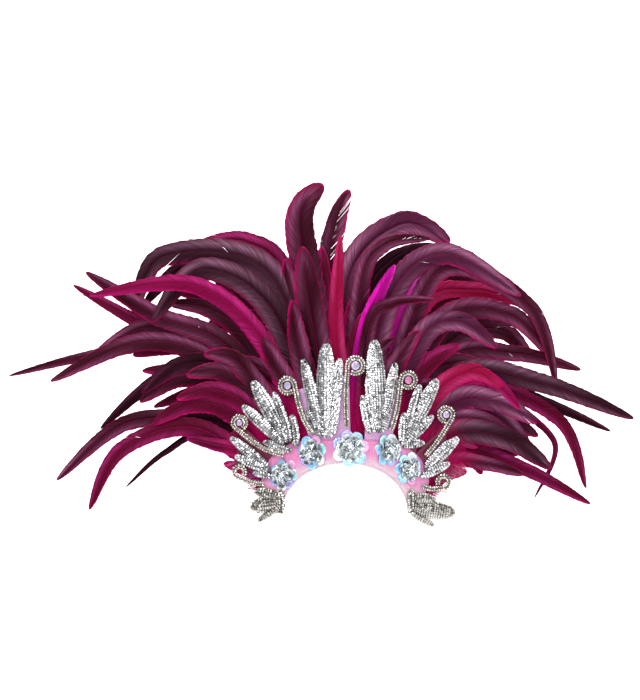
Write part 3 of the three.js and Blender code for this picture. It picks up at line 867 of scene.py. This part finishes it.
# %% Feathers of the pattern
FEATHER_COLUMNS = "sector row root x1 z1 x2 z2 end_x end_z width tip dye"
FEATHERS = table(
    FEATHER_COLUMNS,
    """
    left 0 -16 -36 70 -50 125 -58 179 27 3.5 plum
    left 0 -24 -52 65 -74 105 -92 140 27 4 plum
    left 0 -28 -88 130 -168 196 -283 184 23 2.8 magenta
    left 0 -36 -99 86 -125 115 -156 119 27 4 plum
    left 0 -44 -98 72 -135 100 -175 96 26 4 plum
    left 0 -55 -100 55 -143 80 -186 70 24 3.5 crimson
    left 0 -60 -121 53 -170 64 -212 42 25 3.5 crimson
    left 0 -70 -160 37 -247 14 -283 -53 22 3 crimson
    left 0 -76 -110 8 -145 20 -175 26 17 3.5 dusk
    left 0 -79 -97 -14 -114 -6 -134 -1 18 3.5 magenta
    left 1 -21 -78 165 -158 214 -214 155 32 3.5 shade
    left 1 -18 -80 205 -200 229 -236 163 33 3.5 shade
    left 1 -32 -104 130 -148 168 -198 176 27 3.5 plum
    left 1 -34 -126 124 -210 163 -289 211 26 3 plum
    left 1 -44 -137 105 -225 133 -328 89 24 3 plum
    left 1 -47 -128 95 -180 108 -226 76 26 3.5 black
    left 1 -50 -121 80 -180 93 -228 66 27 3.5 plum
    left 1 -64 -148 38 -242 43 -321 -21 21 3 plum
    left 1 -66 -125 36 -175 44 -216 30 24 3.5 black
    left 1 -15 -36 90 -54 160 -66 225 28 3.5 plum
    left 2 -14 -66 200 -108 244 -162 245 32 3.5 crimson
    left 2 -24 -85 125 -140 178 -192 190 29 3.5 crimson
    left 2 -28 -72 110 -108 170 -150 212 29 3.5 crimson
    left 2 -40 -137 117 -215 150 -281 119 27 3 plum
    left 2 -38 -137 113 -215 147 -305 197 20 3 crimson
    left 2 -42 -160 124 -262 122 -377 95 18 1.8 plum
    left 2 -47 -125 105 -180 128 -237 118 27 3.5 crimson
    left 2 -52 -132 102 -205 93 -273 36 19 3 black
    left 2 -74 -150 28 -200 10 -244 -29 10 1.8 black
    centre 0 -9 -24 90 -38 165 -47 238 36 4 plum
    centre 0 0 -5 90 -10 165 -5 250 18 3.5 ruby
    centre 0 4 16 110 28 165 55 218 20 3.5 fuchsia
    centre 0 12 26 146 52 176 100 180 17 3 plum
    centre 1 -6 -38 185 -50 272 -24 308 34 10 plum
    centre 1 -3 -14 80 -22 160 -26 238 28 4 crimson
    centre 1 1 2 60 5 120 8 180 26 4 magenta
    centre 1 7 17 190 44 240 95 248 23 3 plum
    centre 2 -1 -16 200 -10 262 5 303 27 8 plum
    centre 2 4 2 195 62 264 119 245 33 8 mauve
    right 0 16 38 70 58 112 82 146 25 3.5 plum
    right 0 22 80 132 124 156 168 126 29 3.5 mauve
    right 0 29 66 78 95 112 126 130 26 3.5 crimson
    right 0 38 112 84 160 91 193 59 20 3.5 magenta
    right 0 46 126 96 215 88 320 48 26 3 shade
    right 0 42 95 72 138 100 174 83 24 4 ruby
    right 0 51 115 64 165 68 212 43 28 4 mauve
    right 0 57 105 42 146 48 182 30 26 3.5 mauve
    right 0 62 116 31 178 26 228 -7 28 4 shade
    right 0 72 116 1 158 -2 197 -14 18 4 plum
    right 0 75 97 -20 115 -12 135 -10 18 3.5 magenta
    right 1 14 45 172 108 231 196 184 30 3.5 mauve
    right 1 26 100 208 205 173 236 83 24 2.8 plum
    right 1 32 104 152 182 164 234 111 27 3.5 plum
    right 1 35 80 85 124 110 168 97 27 3.5 plum
    right 1 40 115 113 190 120 263 102 22 3.5 plum
    right 1 54 115 53 165 54 208 10 28 4 mauve
    right 1 57 140 80 238 46 268 -30 19 3 crimson
    right 1 64 105 22 150 24 193 8 27 3.5 black
    right 1 69 126 12 195 -6 273 -47 18 3 crimson
    right 2 14 38 110 60 175 84 210 26 3.5 pink
    right 2 18 55 150 108 205 170 200 29 3.5 plum
    right 2 23 62 120 100 168 142 190 28 3.5 crimson
    right 2 28 82 168 146 191 208 171 23 3.5 ruby
    right 2 36 108 124 172 147 212 110 29 3.5 plum
    right 2 44 105 82 160 104 216 84 26 3.5 crimson
    right 2 50 148 86 222 66 298 33 16 3 black
    right 2 55 108 52 160 55 216 28 27 3.5 plum
    right 2 60 140 74 232 25 211 -41 11 1.8 crimson
    """,
)
print("feathers:", len(FEATHERS))

# %% Shaft of a feather
ROOT_HALF, ROOT_RISE, ROOT_INSET = 76, 64, 1.5  # mm, the tape's ellipse, and how far in roots lie
KNOTS = (("x1", "z1"), ("x2", "z2"), ("end_x", "end_z"))
QUILL_BARE = 0.3  # share of the shaft over which the vanes widen
Shaft = namedtuple("Shaft", "length share points side")


def vane_half(feather, s):
    """Half width of the vanes at share s of the shaft: a bare quill, then a run that narrows."""
    narrowing = np.sqrt(np.clip(1 - s ** feather["tip"], 0, 1))
    return feather["width"] / 2 * smooth(s, 0, QUILL_BARE) * narrowing


def shaft_of(feather):
    """Even points and sideways directions on a smooth line through the root and three knots.

    Each stretch is a cubic whose slope at a knot is half the way between its neighbours.
    """
    root = arch(ROOT_HALF - ROOT_INSET, ROOT_RISE - ROOT_INSET, feather["root"])
    knots = np.array([root, *([feather[x], feather[z]] for x, z in KNOTS)])
    before = np.concatenate([knots[:1], knots[:-1]])
    after = np.concatenate([knots[1:], knots[-1:]])
    slope = (after - before) / 2
    t = np.linspace(0, 1, 80)[:, None, None]
    here, there = knots[:-1], knots[1:]
    line = here + t * slope[:-1] + t**2 * (3 * (there - here) - 2 * slope[:-1] - slope[1:])
    line = line + t**3 * (2 * (here - there) + slope[:-1] + slope[1:])
    line = line.swapaxes(0, 1).reshape(-1, 2)
    length, share = run_of(line)[-1], np.linspace(0, 1, 160)
    return Shaft(length, share, *beside(line, share * length))


def carried(shaft, along, across):
    """Front-view x and z at a share along the shaft and a distance across it."""
    lines = np.concatenate([shaft.points, shaft.side], 1).T
    x, z, side_x, side_z = (np.interp(along, shaft.share, line) for line in lines)
    return x + across * side_x, z + across * side_z


print("longest shaft, mm:", round(max(shaft_of(feather).length for feather in FEATHERS)))

# %% [markdown]
# ## Dyes and a painted sheen
# Each feather was dipped in one dye, but no vane has one colour. It is dark, with a bright edge,
# and redder near its root. A soft sheen beside the shaft, stronger on the outer vane, is a painted
# highlight in the colour. A noise alone can't follow the barbs, so these colours are worked out for
# each barb and stored as its tint.

# %% Dyes and painted sheen colours
# for each dye: the dark dye, the colour of its painted sheen, and the rim dye
DYES = {  # dark, light, rim
    "plum": ("#360618", "#944a72", "#c40664"),
    "mauve": ("#481430", "#b06c92", "#b80c68"),
    "black": ("#200410", "#542038", "#8c0a4a"),
    "shade": ("#2c0a19", "#7e526a", "#960a50"),
    "crimson": ("#540222", "#a02468", "#d4066c"),
    "magenta": ("#7a023a", "#c02880", "#dc0678"),
    "ruby": ("#8e0436", "#c83c7c", "#dc0a68"),
    "fuchsia": ("#96006e", "#f414c4", "#ff48d4"),
    "pink": ("#d81aa8", "#ff74e2", "#ff5ce0"),
    "dusk": ("#560220", "#94205a", "#f028c0"),
}


def dyes_of(feather):
    """The dark dye, the painted sheen colour and the rim dye of a feather."""
    return (linear(code) for code in DYES[feather["dye"]])


print("dyes:", ", ".join(DYES))

# %% Tint of the barbs
ACROSS = np.array([0.0, 0.2, 0.45, 0.7, 0.88, 1.0])  # places from the shaft to the vane's edge
# the strength of the painted sheen, more on the lit outer vane,
# where the bright edge starts, and its strength
OUTER_VANE, INNER_VANE = (1.0, 0.8, 0.85), (0.7, 0.55, 1.0)
SHEEN_WAVES, EDGE_WAVES = (9, 60, 2), (11, 40, 1)  # radians for the shaft, the roll and the hand
SHEEN_PLACE, SHEEN_WIDTH = 0.5, 0.28  # shares of the way across
ROOT_DYE, RED = linear("#c2065c"), 0.85  # the red of the roots, and its share there
ROOT_RUN = (45, 95)  # mm from the root over which it fades


def lock_tint(feather, hand, at, run, roll):
    """Dark dye, a bell of painted sheen across the vane, and a bright edge, wide on the inner vane.

    Slow waves along the shaft swell both. The run is the distance from the root in millimetres.
    """
    dark, light, rim = dyes_of(feather)
    outer = hand * feather["end_x"] < 0
    painted_sheen_share, edge_from, strength = OUTER_VANE if outer else INNER_VANE
    swell, glow = (np.sin(a * at + b * roll + c * hand) for a, b, c in (SHEEN_WAVES, EDGE_WAVES))
    bell = np.exp(-(((ACROSS - SHEEN_PLACE) / SHEEN_WIDTH) ** 2))
    # the painted sheen: a painted highlight across the vane that swells in slow waves
    sheen = painted_sheen_share * (0.5 + 0.5 * swell) * bell
    sheen = (sheen * rng.uniform(0.6, 1.2, at.shape) * rng.uniform(0.7, 1.15))[..., None]
    edge = smooth(ACROSS, edge_from, 1.02) * strength
    edge = (edge * (0.65 + 0.35 * glow))[..., None]
    tint = (dark * (1 - sheen) + light * sheen) * (1 - edge) + rim * edge
    red = RED * (1 - smooth(run, *ROOT_RUN))[..., None]
    return tint * (1 - red) + ROOT_DYE * red * rng.uniform(0.7, 1.1)


print("red near the roots, mm:", ROOT_RUN[1])

# %% [markdown]
# ## Locks of barbs
# A vane is barbs that hook together until the wind parts them. A flat card with a picture would be
# quick but has no frayed edge, and single barbs look like a fern. So each vane is a row of thin
# closed locks, laid out along and across the shaft and then carried onto its curve. Noise drawn
# along the barb lines gives the fine ribs.

# %% A lock of barbs
# little real specular: the vanes' sheen is painted into their tint
FEATHER_LOOK = {"Roughness": 0.45, "Specular IOR Level": 0.04}
FEATHER = finish(
    "dyed feather",
    FEATHER_LOOK,
    grain=1.0,
    dark=0.4,
    spread=0.1,
    bump=0.3,
    barbs=(1.0, 0.03, 1.0),  # along the shaft, along a barb, from vane to vane
)
LOCK_STEP = 2.4  # mm between the rings of a lock
BARB_ANGLE, BARB_CLOSES = 44, 22  # degrees off the shaft at the root, and how much less at the tip
BARB_REACH, VANE_LEAST, VANE_CUP = 1.1, 0.15, 2.2  # share of the half width, mm, mm
VANE_THICK, VANE_THINS = 0.28, 0.18  # mm, half the thickness at the shaft, and its loss at the edge
VANE_APART = 7.0  # mm between the noise of the two vanes
ANGLE_SPREAD, WIDTH_SPREAD, LIFT_SPREAD = 0.008, 0.03, 0.4  # by chance: shares, and mm


def lock_part(feather, shaft, depth, hand, ends, roll, loose):
    """A closed sheet of barbs between two places on the shaft, each barb bending towards the tip.

    A barb starts at a share of the shaft and reaches on by its angle, while it crosses the vane.
    """
    rings = max(3, int((ends[1] - ends[0]) * shaft.length / LOCK_STEP) + 1)
    at = np.linspace(*ends, rings)[:, None]
    angle = np.radians(BARB_ANGLE - BARB_CLOSES * at**1.5)
    angle = angle * (1 + loose * rng.normal(0, ANGLE_SPREAD))
    reach = BARB_REACH * vane_half(feather, at) / np.tan(angle) / shaft.length
    reach = np.minimum(reach, 1 - at)
    ragged = 1 + loose * rng.normal(0, WIDTH_SPREAD, at.shape)
    half = vane_half(feather, at + reach) * ragged + VANE_LEAST
    across = hand * half * (1 - (1 - ACROSS) ** 1.7)
    x, z = carried(shaft, np.clip(at + reach * ACROSS**0.9, 0, 1), across)
    cup = VANE_CUP * (across / feather["width"] * 2) ** 2
    y = depth(x, z) + roll * across + cup + ACROSS * loose * rng.normal(0, LIFT_SPREAD)
    thin = VANE_THICK - VANE_THINS * ACROSS
    sheet = sweep(round_wall(on_front(x, y - thin, z), on_front(x, y + thin, z))[None])
    tint = lock_tint(feather, hand, at, at * shaft.length, roll)
    lines = on_front(at * shaft.length, np.abs(across), VANE_APART * hand + feather["root"])
    tint, lines = (round_wall(each, each).reshape(-1, 3) for each in (tint, lines))
    return Part(*sheet, tint, FEATHER, lines)


print("angle of the barbs, degrees:", BARB_ANGLE, "to", BARB_ANGLE - BARB_CLOSES)

# %% Two vanes of locks
LOCKS_FROM, LOCKS_TO = 0.05, 0.995  # shares of the shaft
SPLIT_FROM, SPLIT_TO, SPLIT_LEAST = 0.3, 0.97, 0.01
FRAYED = {("centre", -1): 1.0, ("centre", 7): -1.0}  # the worn hand of two feathers
FRAY_FROM, FRAY_SPLITS, FRAY_GAP, FRAY_LOOSE = 0.7, 26, 0.0016, 1.6


def worn_hand(feather):
    """Which vane of a feather is worn: 1 or -1, or 0 for none."""
    return FRAYED.get((feather["sector"], feather["root"]), 0)


def vane_parts(feather, shaft, depth, roll):
    """Both vanes, each parted into locks at a few places by chance, or at many if it is worn."""
    parts = []
    for hand in (1.0, -1.0):
        worn = hand == worn_hand(feather)
        count = FRAY_SPLITS if worn else rng.integers(1, 4)
        splits = np.sort(rng.uniform(FRAY_FROM if worn else SPLIT_FROM, SPLIT_TO, count))
        splits = splits[np.diff(splits, append=1) > SPLIT_LEAST]
        ends = np.concatenate([[LOCKS_FROM], splits, [LOCKS_TO]])
        for start, end in zip(ends, ends[1:]):
            stop = end - FRAY_GAP if worn and start > FRAY_FROM else end
            loose = FRAY_LOOSE if worn else 1
            parts.append(lock_part(feather, shaft, depth, hand, (start, stop), roll, loose))
    return parts


print("worn vanes:", len(FRAYED))

# %% [markdown]
# ## Stray barbs, quills and down
# Some barbs stand off the edge of a vane, a quill runs down its middle, and the lowest feathers
# have loose down. Hair curves could make them, but the finished pieces have to be meshes. So a
# thread is a thin strip with three sides, and the quill is a strip with six.

# %% Stray barbs
STRAYS, FRAYED_STRAYS = 10, 60
STRAY_FROM, STRAY_TO = 0.8, (1.02, 1.15)  # shares of the half width
STRAY_SLANT, STRAY_SPREAD = 0.06, (0.6, 1.6)  # share of the shaft, and times that by chance
STRAY_LAST, STRAY_OUT, STRAY_BACK = 0.97, 0.4, 2.0  # share of the shaft, mm, mm
STRAY_THICK = 0.22 * np.array([1.0, 0.9, 0.6, 0.1])  # mm, from its foot to its end


def threads(x, y, z, thick):
    """Three-sided strips along lines (thread, station), each ring as thick as its station says."""
    x, y, z, thick = x[..., None], y[..., None], z[..., None], thick[None, :, None]
    turn = turns(3)
    ring = (thick * wave for wave in (np.cos(turn), np.sin(turn), np.sin(turn + 1)))
    return sweep(on_front(*(place + off for place, off in zip((x, y, z), ring))))


def stray_part(feather, shaft, depth):
    """A few barbs that leave the edge of the vane and slant towards the tip."""
    count = FRAYED_STRAYS if worn_hand(feather) else STRAYS
    hand = rng.choice([1.0, -1.0], count)[:, None]
    at = rng.uniform(0.25, 1, count)[:, None] ** 0.6 * STRAY_LAST
    out = np.linspace(STRAY_FROM, rng.uniform(*STRAY_TO, count), len(STRAY_THICK)).T
    slant = STRAY_SLANT * (out - STRAY_FROM) * rng.uniform(*STRAY_SPREAD, (count, 1))
    across = hand * out * (vane_half(feather, at) + STRAY_OUT)
    x, z = carried(shaft, np.clip(at + slant, 0, 1), across)
    # stray barbs are half the painted sheen colour and half the rim dye
    _, light, rim = dyes_of(feather)
    strays = threads(x, depth(x, z) + STRAY_BACK, z, STRAY_THICK)
    return Part(*strays, (light + rim) / 2, FEATHER)


print("stray barbs of a feather:", STRAYS, "or, if it is worn,", FRAYED_STRAYS)

# %% Quill
QUILL_TO = 0.97  # share of the shaft
QUILL_LEAST, QUILL_GROWS, QUILL_FRONT = 0.15, 0.5, 0.2  # mm


def quill_part(feather, shaft, depth):
    """The quill: a six-sided strip that thins towards the tip, red near its root."""
    s, turn = np.linspace(0.0, QUILL_TO, 40)[:, None], turns(6)
    thick = QUILL_LEAST + QUILL_GROWS * (1 - s)
    x, z = carried(shaft, s, thick * np.cos(turn))
    quill = on_front(x, depth(x, z) - QUILL_FRONT + thick * np.sin(turn), z)
    dark, _, rim = dyes_of(feather)
    red = (1 - smooth(s * shaft.length, *ROOT_RUN))[..., None] + 0 * turn[:, None]
    tint = (0.7 * dark + 0.3 * rim) * (1 - red) + ROOT_DYE * red
    return Part(*sweep(quill[None]), tint.reshape(-1, 3), FEATHER)


print("half width of a quill at its root, mm:", QUILL_LEAST + QUILL_GROWS)

# %% Down
DOWNY = [("left", -76), ("left", -79), ("right", 72), ("right", 75)]
DOWN_COUNT, DOWN_PLACE = 240, (0.2, 0.5)  # threads, and where on the shaft they start
DOWN_LENGTH, DOWN_FRONT, DOWN_THICK, DOWN_THINS = (4, 14), 1.5, 0.24, 0.17  # mm
DOWN_SWAY, DOWN_PUFF = 0.6, 2.0  # by chance: times its length sideways, and mm back
PALE_DOWN = linear("#f2c4da")


def down_part(feather, shaft, depth):
    """Down under a low feather: threads that hang from its lower edge, with pale ends."""
    each, out = (DOWN_COUNT, 1), np.linspace(0, 1, 5)
    at = rng.uniform(*DOWN_PLACE, each)
    length = rng.uniform(*DOWN_LENGTH, each)
    start = vane_half(feather, at) * rng.uniform(0.3, 1.0, each)
    across = np.sign(feather["end_x"]) * (start + length * out)
    x, z = carried(shaft, np.clip(at + 0.04 * out, 0, 1), across)
    x = x + rng.normal(0, DOWN_SWAY, each) * length * out**1.5
    y = depth(x, z) - DOWN_FRONT + rng.normal(0, DOWN_PUFF, each) * out
    *_, rim = dyes_of(feather)
    pale = out[None, :, None] ** 1.5 * rng.uniform(0.2, 1, (*each, 1))
    tint = np.repeat((rim + (PALE_DOWN - rim) * pale)[:, :, None], 3, 2).reshape(-1, 3)
    return Part(*threads(x, y, z, DOWN_THICK - DOWN_THINS * out), tint, FEATHER)


print("downy feathers:", len(DOWNY))

# %% [markdown]
# ## Rows of feathers
# The feathers of a row are sewn to a tape, side by side, with shorter ones between them that close
# the fan. The rows stand one behind the other and lean further back row by row. Neighbours take
# turns to lean a little more or less, so that their vanes part and don't cut each other.

# %% Depth of a row
ROW_FRONT, SLAB = 4.6, 3.2  # mm to the first row, and from slab to slab, two of them to a row
LEAN, SLAB_LEAN, SHARE_LEAN = 0.05, 0.065, 0.025  # slopes


def row_depth(row, behind, share):
    """Depth field of a feather row: its tape's place, plus a lean with distance from the roots."""
    slab = 2 * row + behind
    lean = LEAN + SLAB_LEAN * slab + SHARE_LEAN * share

    def depth(x, z):
        """The row's depth at a point of the front view."""
        out = np.hypot(x / ROOT_HALF, (z + BAND_RISE) / ROOT_RISE) - 1
        return wrap(x) + ROW_FRONT + SLAB * slab + lean * ROOT_RISE * out

    return depth


print("depth of the front and back rows, mm:", [row_depth(r, 0, 0)(0, 300).round() for r in (0, 2)])

# %% Feathers between
BETWEEN = table(
    FEATHER_COLUMNS,
    """
    left 1 -19 -79 185 -172 217 -226 172 26 3.5 black
    centre 1 9 22 172 52 224 100 242 24 3.5 black
    """,
)
FILLER_TO = 63  # degrees: the lowest feathers have none between them
FILLER_LENGTH = (0.5, 0.7)  # shares of their neighbours' length
FILLER_DYES = ["plum", "plum", "crimson"]


def fillers(members):
    """Shorter feathers between neighbours: the mean of two, drawn back towards its root."""
    made = []
    ranked = sorted(members, key=lambda feather: feather["root"])
    ranked = [feather for feather in ranked if abs(feather["root"]) < FILLER_TO]
    for one, other in zip(ranked, ranked[1:]):
        numbers = [k for k in one if isinstance(one[k], float)]
        mean = dict(one, **{k: (one[k] + other[k]) / 2 for k in numbers})
        root = arch(ROOT_HALF, ROOT_RISE, mean["root"])
        short = rng.uniform(*FILLER_LENGTH)
        for names in KNOTS:
            for name, foot in zip(names, root):
                mean[name] = foot + short * (mean[name] - foot)
        mean["dye"] = str(rng.choice(FILLER_DYES))
        made.append(mean)
    return made


print("dark feathers between others:", len(BETWEEN))

# %% A feather and a tape
ROLL = 0.1  # slope of the vanes across the shaft, by chance
TAPE_HALF, TAPE_THICK = 3.0, 1.3  # mm, half its height and half its thickness
TAPE_DYE = linear("#7a1048")


def feather_parts(feather, depth):
    """The vanes, stray barbs and quill of one feather, and its down if it has any."""
    shaft, roll = shaft_of(feather), rng.normal(0, ROLL)
    parts = vane_parts(feather, shaft, depth, roll)
    parts += [make(feather, shaft, depth) for make in (stray_part, quill_part)]
    if (feather["sector"], feather["root"]) in DOWNY:
        parts.append(down_part(feather, shaft, depth))
    return parts


def tape_part(start, end, depth):
    """The tape of a row: a strip along the ellipse of the roots."""
    height, stations = np.array([-TAPE_HALF, TAPE_HALF]), np.linspace(start, end, 40)[:, None]
    tape = arch(ROOT_HALF + height, ROOT_RISE + height, stations)
    x, z = tape[..., 0], tape[..., 1]
    front, back = (on_front(x, depth(x, z) + y, z) for y in (-TAPE_THICK, TAPE_THICK))
    return Part(*sweep(round_wall(front, back)[None]), TAPE_DYE, SATIN)


print("height of a tape, mm:", 2 * TAPE_HALF)

# %% Feather rows
ROW_NAMES = ("front", "middle", "back")
# the ends of a sector's tapes in degrees, and how many slabs it stands behind the others
SECTORS = {"left": (-80, -8, 0), "centre": (-12, 15, 1), "right": (8, 77, 0)}
TURN_STEP, TURN_START = 0.382, 0.23  # steps of the golden section never lean two neighbours alike
FILLER_BEHIND = 0.4  # slabs

for sector, (start, end, behind) in SECTORS.items():
    for row, row_name in enumerate(ROW_NAMES):
        members, between = (
            [f for f in group if f["sector"] == sector and f["row"] == row]
            for group in (FEATHERS, BETWEEN)
        )
        parts = []
        for i, feather in enumerate(members):
            share = 2 * ((i * TURN_STEP + TURN_START) % 1) - 1
            parts += feather_parts(feather, row_depth(row, behind, share))
        for feather in fillers(members) + between:
            depth = row_depth(row, behind + FILLER_BEHIND, rng.uniform(-1, 1))
            parts += feather_parts(feather, depth)
        parts.append(tape_part(start, end, row_depth(row, behind, 0)))
        dress(f"plume_{sector}_{row_name}", parts)

# %% [markdown]
# ## Studio
# The photograph shows the headdress face on against pure white. A wide round floor whose rim curves
# up into a wall gives that from every side. A flat wall close behind would be simpler, but it would
# hide the back.

# %% Floor and wall
FLOOR_LEVEL = -0.4  # m, as all sizes from here on
FLOOR_THICK = 0.1
PAPER_WHITE = (0.92, 0.92, 0.92, 1)
RIM_PROFILE = [(7.4, 0.0), (7.9, 0.13), (8.27, 0.5), (8.4, 1.0), (8.4, 4.0), (8.5, 4.0)]
profile = [(0, 0), *RIM_PROFILE, (8.5, -FLOOR_THICK), (0, -FLOOR_THICK)]
points, faces = turned(profile, 64)
points[:, 2] += FLOOR_LEVEL
bowl = bpy.data.meshes.new("backdrop")
bowl.from_pydata(points.tolist(), [], [face for group in faces for face in group.tolist()])
bowl.polygons.foreach_set("use_smooth", np.full(len(bowl.polygons), True))
backdrop = bpy.data.objects.new("backdrop", bowl)
bpy.context.collection.objects.link(backdrop)
paper = bpy.data.materials.new("white paper")
paper.use_nodes = True
paper_shader = paper.node_tree.nodes["Principled BSDF"]
paper_shader.inputs["Base Color"].default_value = PAPER_WHITE
paper_shader.inputs["Roughness"].default_value = 0.9
bowl.materials.append(paper)
print("floor and wall, faces:", len(bowl.polygons))

# %% [markdown]
# ## Lights
# Large soft lights show the feathers' sheen, and small bright ones make the sequins sparkle. Two
# more light the paper behind until it is pure white. One big light would be simpler, but then all
# sequins would shine alike.

# %% Lights
LIGHTS = table(
    "name x y z to_y to_z width power",
    """
    key -1.6 -2.2 2.2 0 0.1 2.2 55
    fill 2.5 -1.7 1.1 0 0.1 2.0 26
    low 0.2 -2.6 0.1 0 0.05 0.5 7
    top 0 0.6 2.6 2.0 0.2 2.5 160
    wall 0 4.6 3.2 6.5 0 3.0 450
    spark_left -0.9 -1.8 0.9 0 0.05 0.12 3
    spark_right 0.7 -1.8 1.3 0 0.05 0.12 3
    spark_high -0.2 -1.8 1.6 0 0.05 0.12 3
    spark_far 1.3 -1.8 0.5 0 0.05 0.12 3
    spark_low 0.5 -1.8 0.4 0 0.05 0.12 3
    """,
)
DAYLIGHT = 0.2  # strength of the white all round

for row in LIGHTS:
    lamp = bpy.data.lights.new(row["name"], "AREA")
    lamp.size, lamp.energy = row["width"], row["power"]
    holder = bpy.data.objects.new(row["name"], lamp)
    place = np.array([row["x"], row["y"], row["z"]])
    holder.location = place
    x, y, z = np.array([0, row["to_y"], row["to_z"]]) - place
    holder.rotation_euler = (np.arctan2(np.hypot(x, y), -z), 0, np.arctan2(x, -y) + np.pi)
    bpy.context.collection.objects.link(holder)
world = bpy.data.worlds.new("studio")
bpy.context.scene.world = world
world.use_nodes = True
world.node_tree.nodes["Background"].inputs["Color"].default_value = (1, 1, 1, 1)
world.node_tree.nodes["Background"].inputs["Strength"].default_value = DAYLIGHT
print("lights:", len(LIGHTS), "watts:", sum(row["power"] for row in LIGHTS))

# %% [markdown]
# ## Camera
# The photograph was taken from afar, since the crown's sides hardly shrink. So the camera stands
# six metres off with a long lens, whose field at the feathers is as high as the photograph. A
# nearer camera with a short lens would frame it too, but would make the front of the crown too
# large.

# %% Camera
CAMERA_PLACE = (-0.0275, -6.0, 0.124)
FEATHER_DEPTH = 0.06  # where the field is measured
FIELD_HEIGHT = 0.77
lens = bpy.data.cameras.new("camera")
lens.lens = lens.sensor_width * (FEATHER_DEPTH - CAMERA_PLACE[1]) / FIELD_HEIGHT
camera = bpy.data.objects.new("camera", lens)
camera.location = CAMERA_PLACE
camera.rotation_euler = (np.pi / 2, 0, 0)
bpy.context.collection.objects.link(camera)
bpy.context.scene.camera = camera
bpy.context.scene.view_settings.view_transform = "Standard"
print("lens, mm:", round(lens.lens, 1))
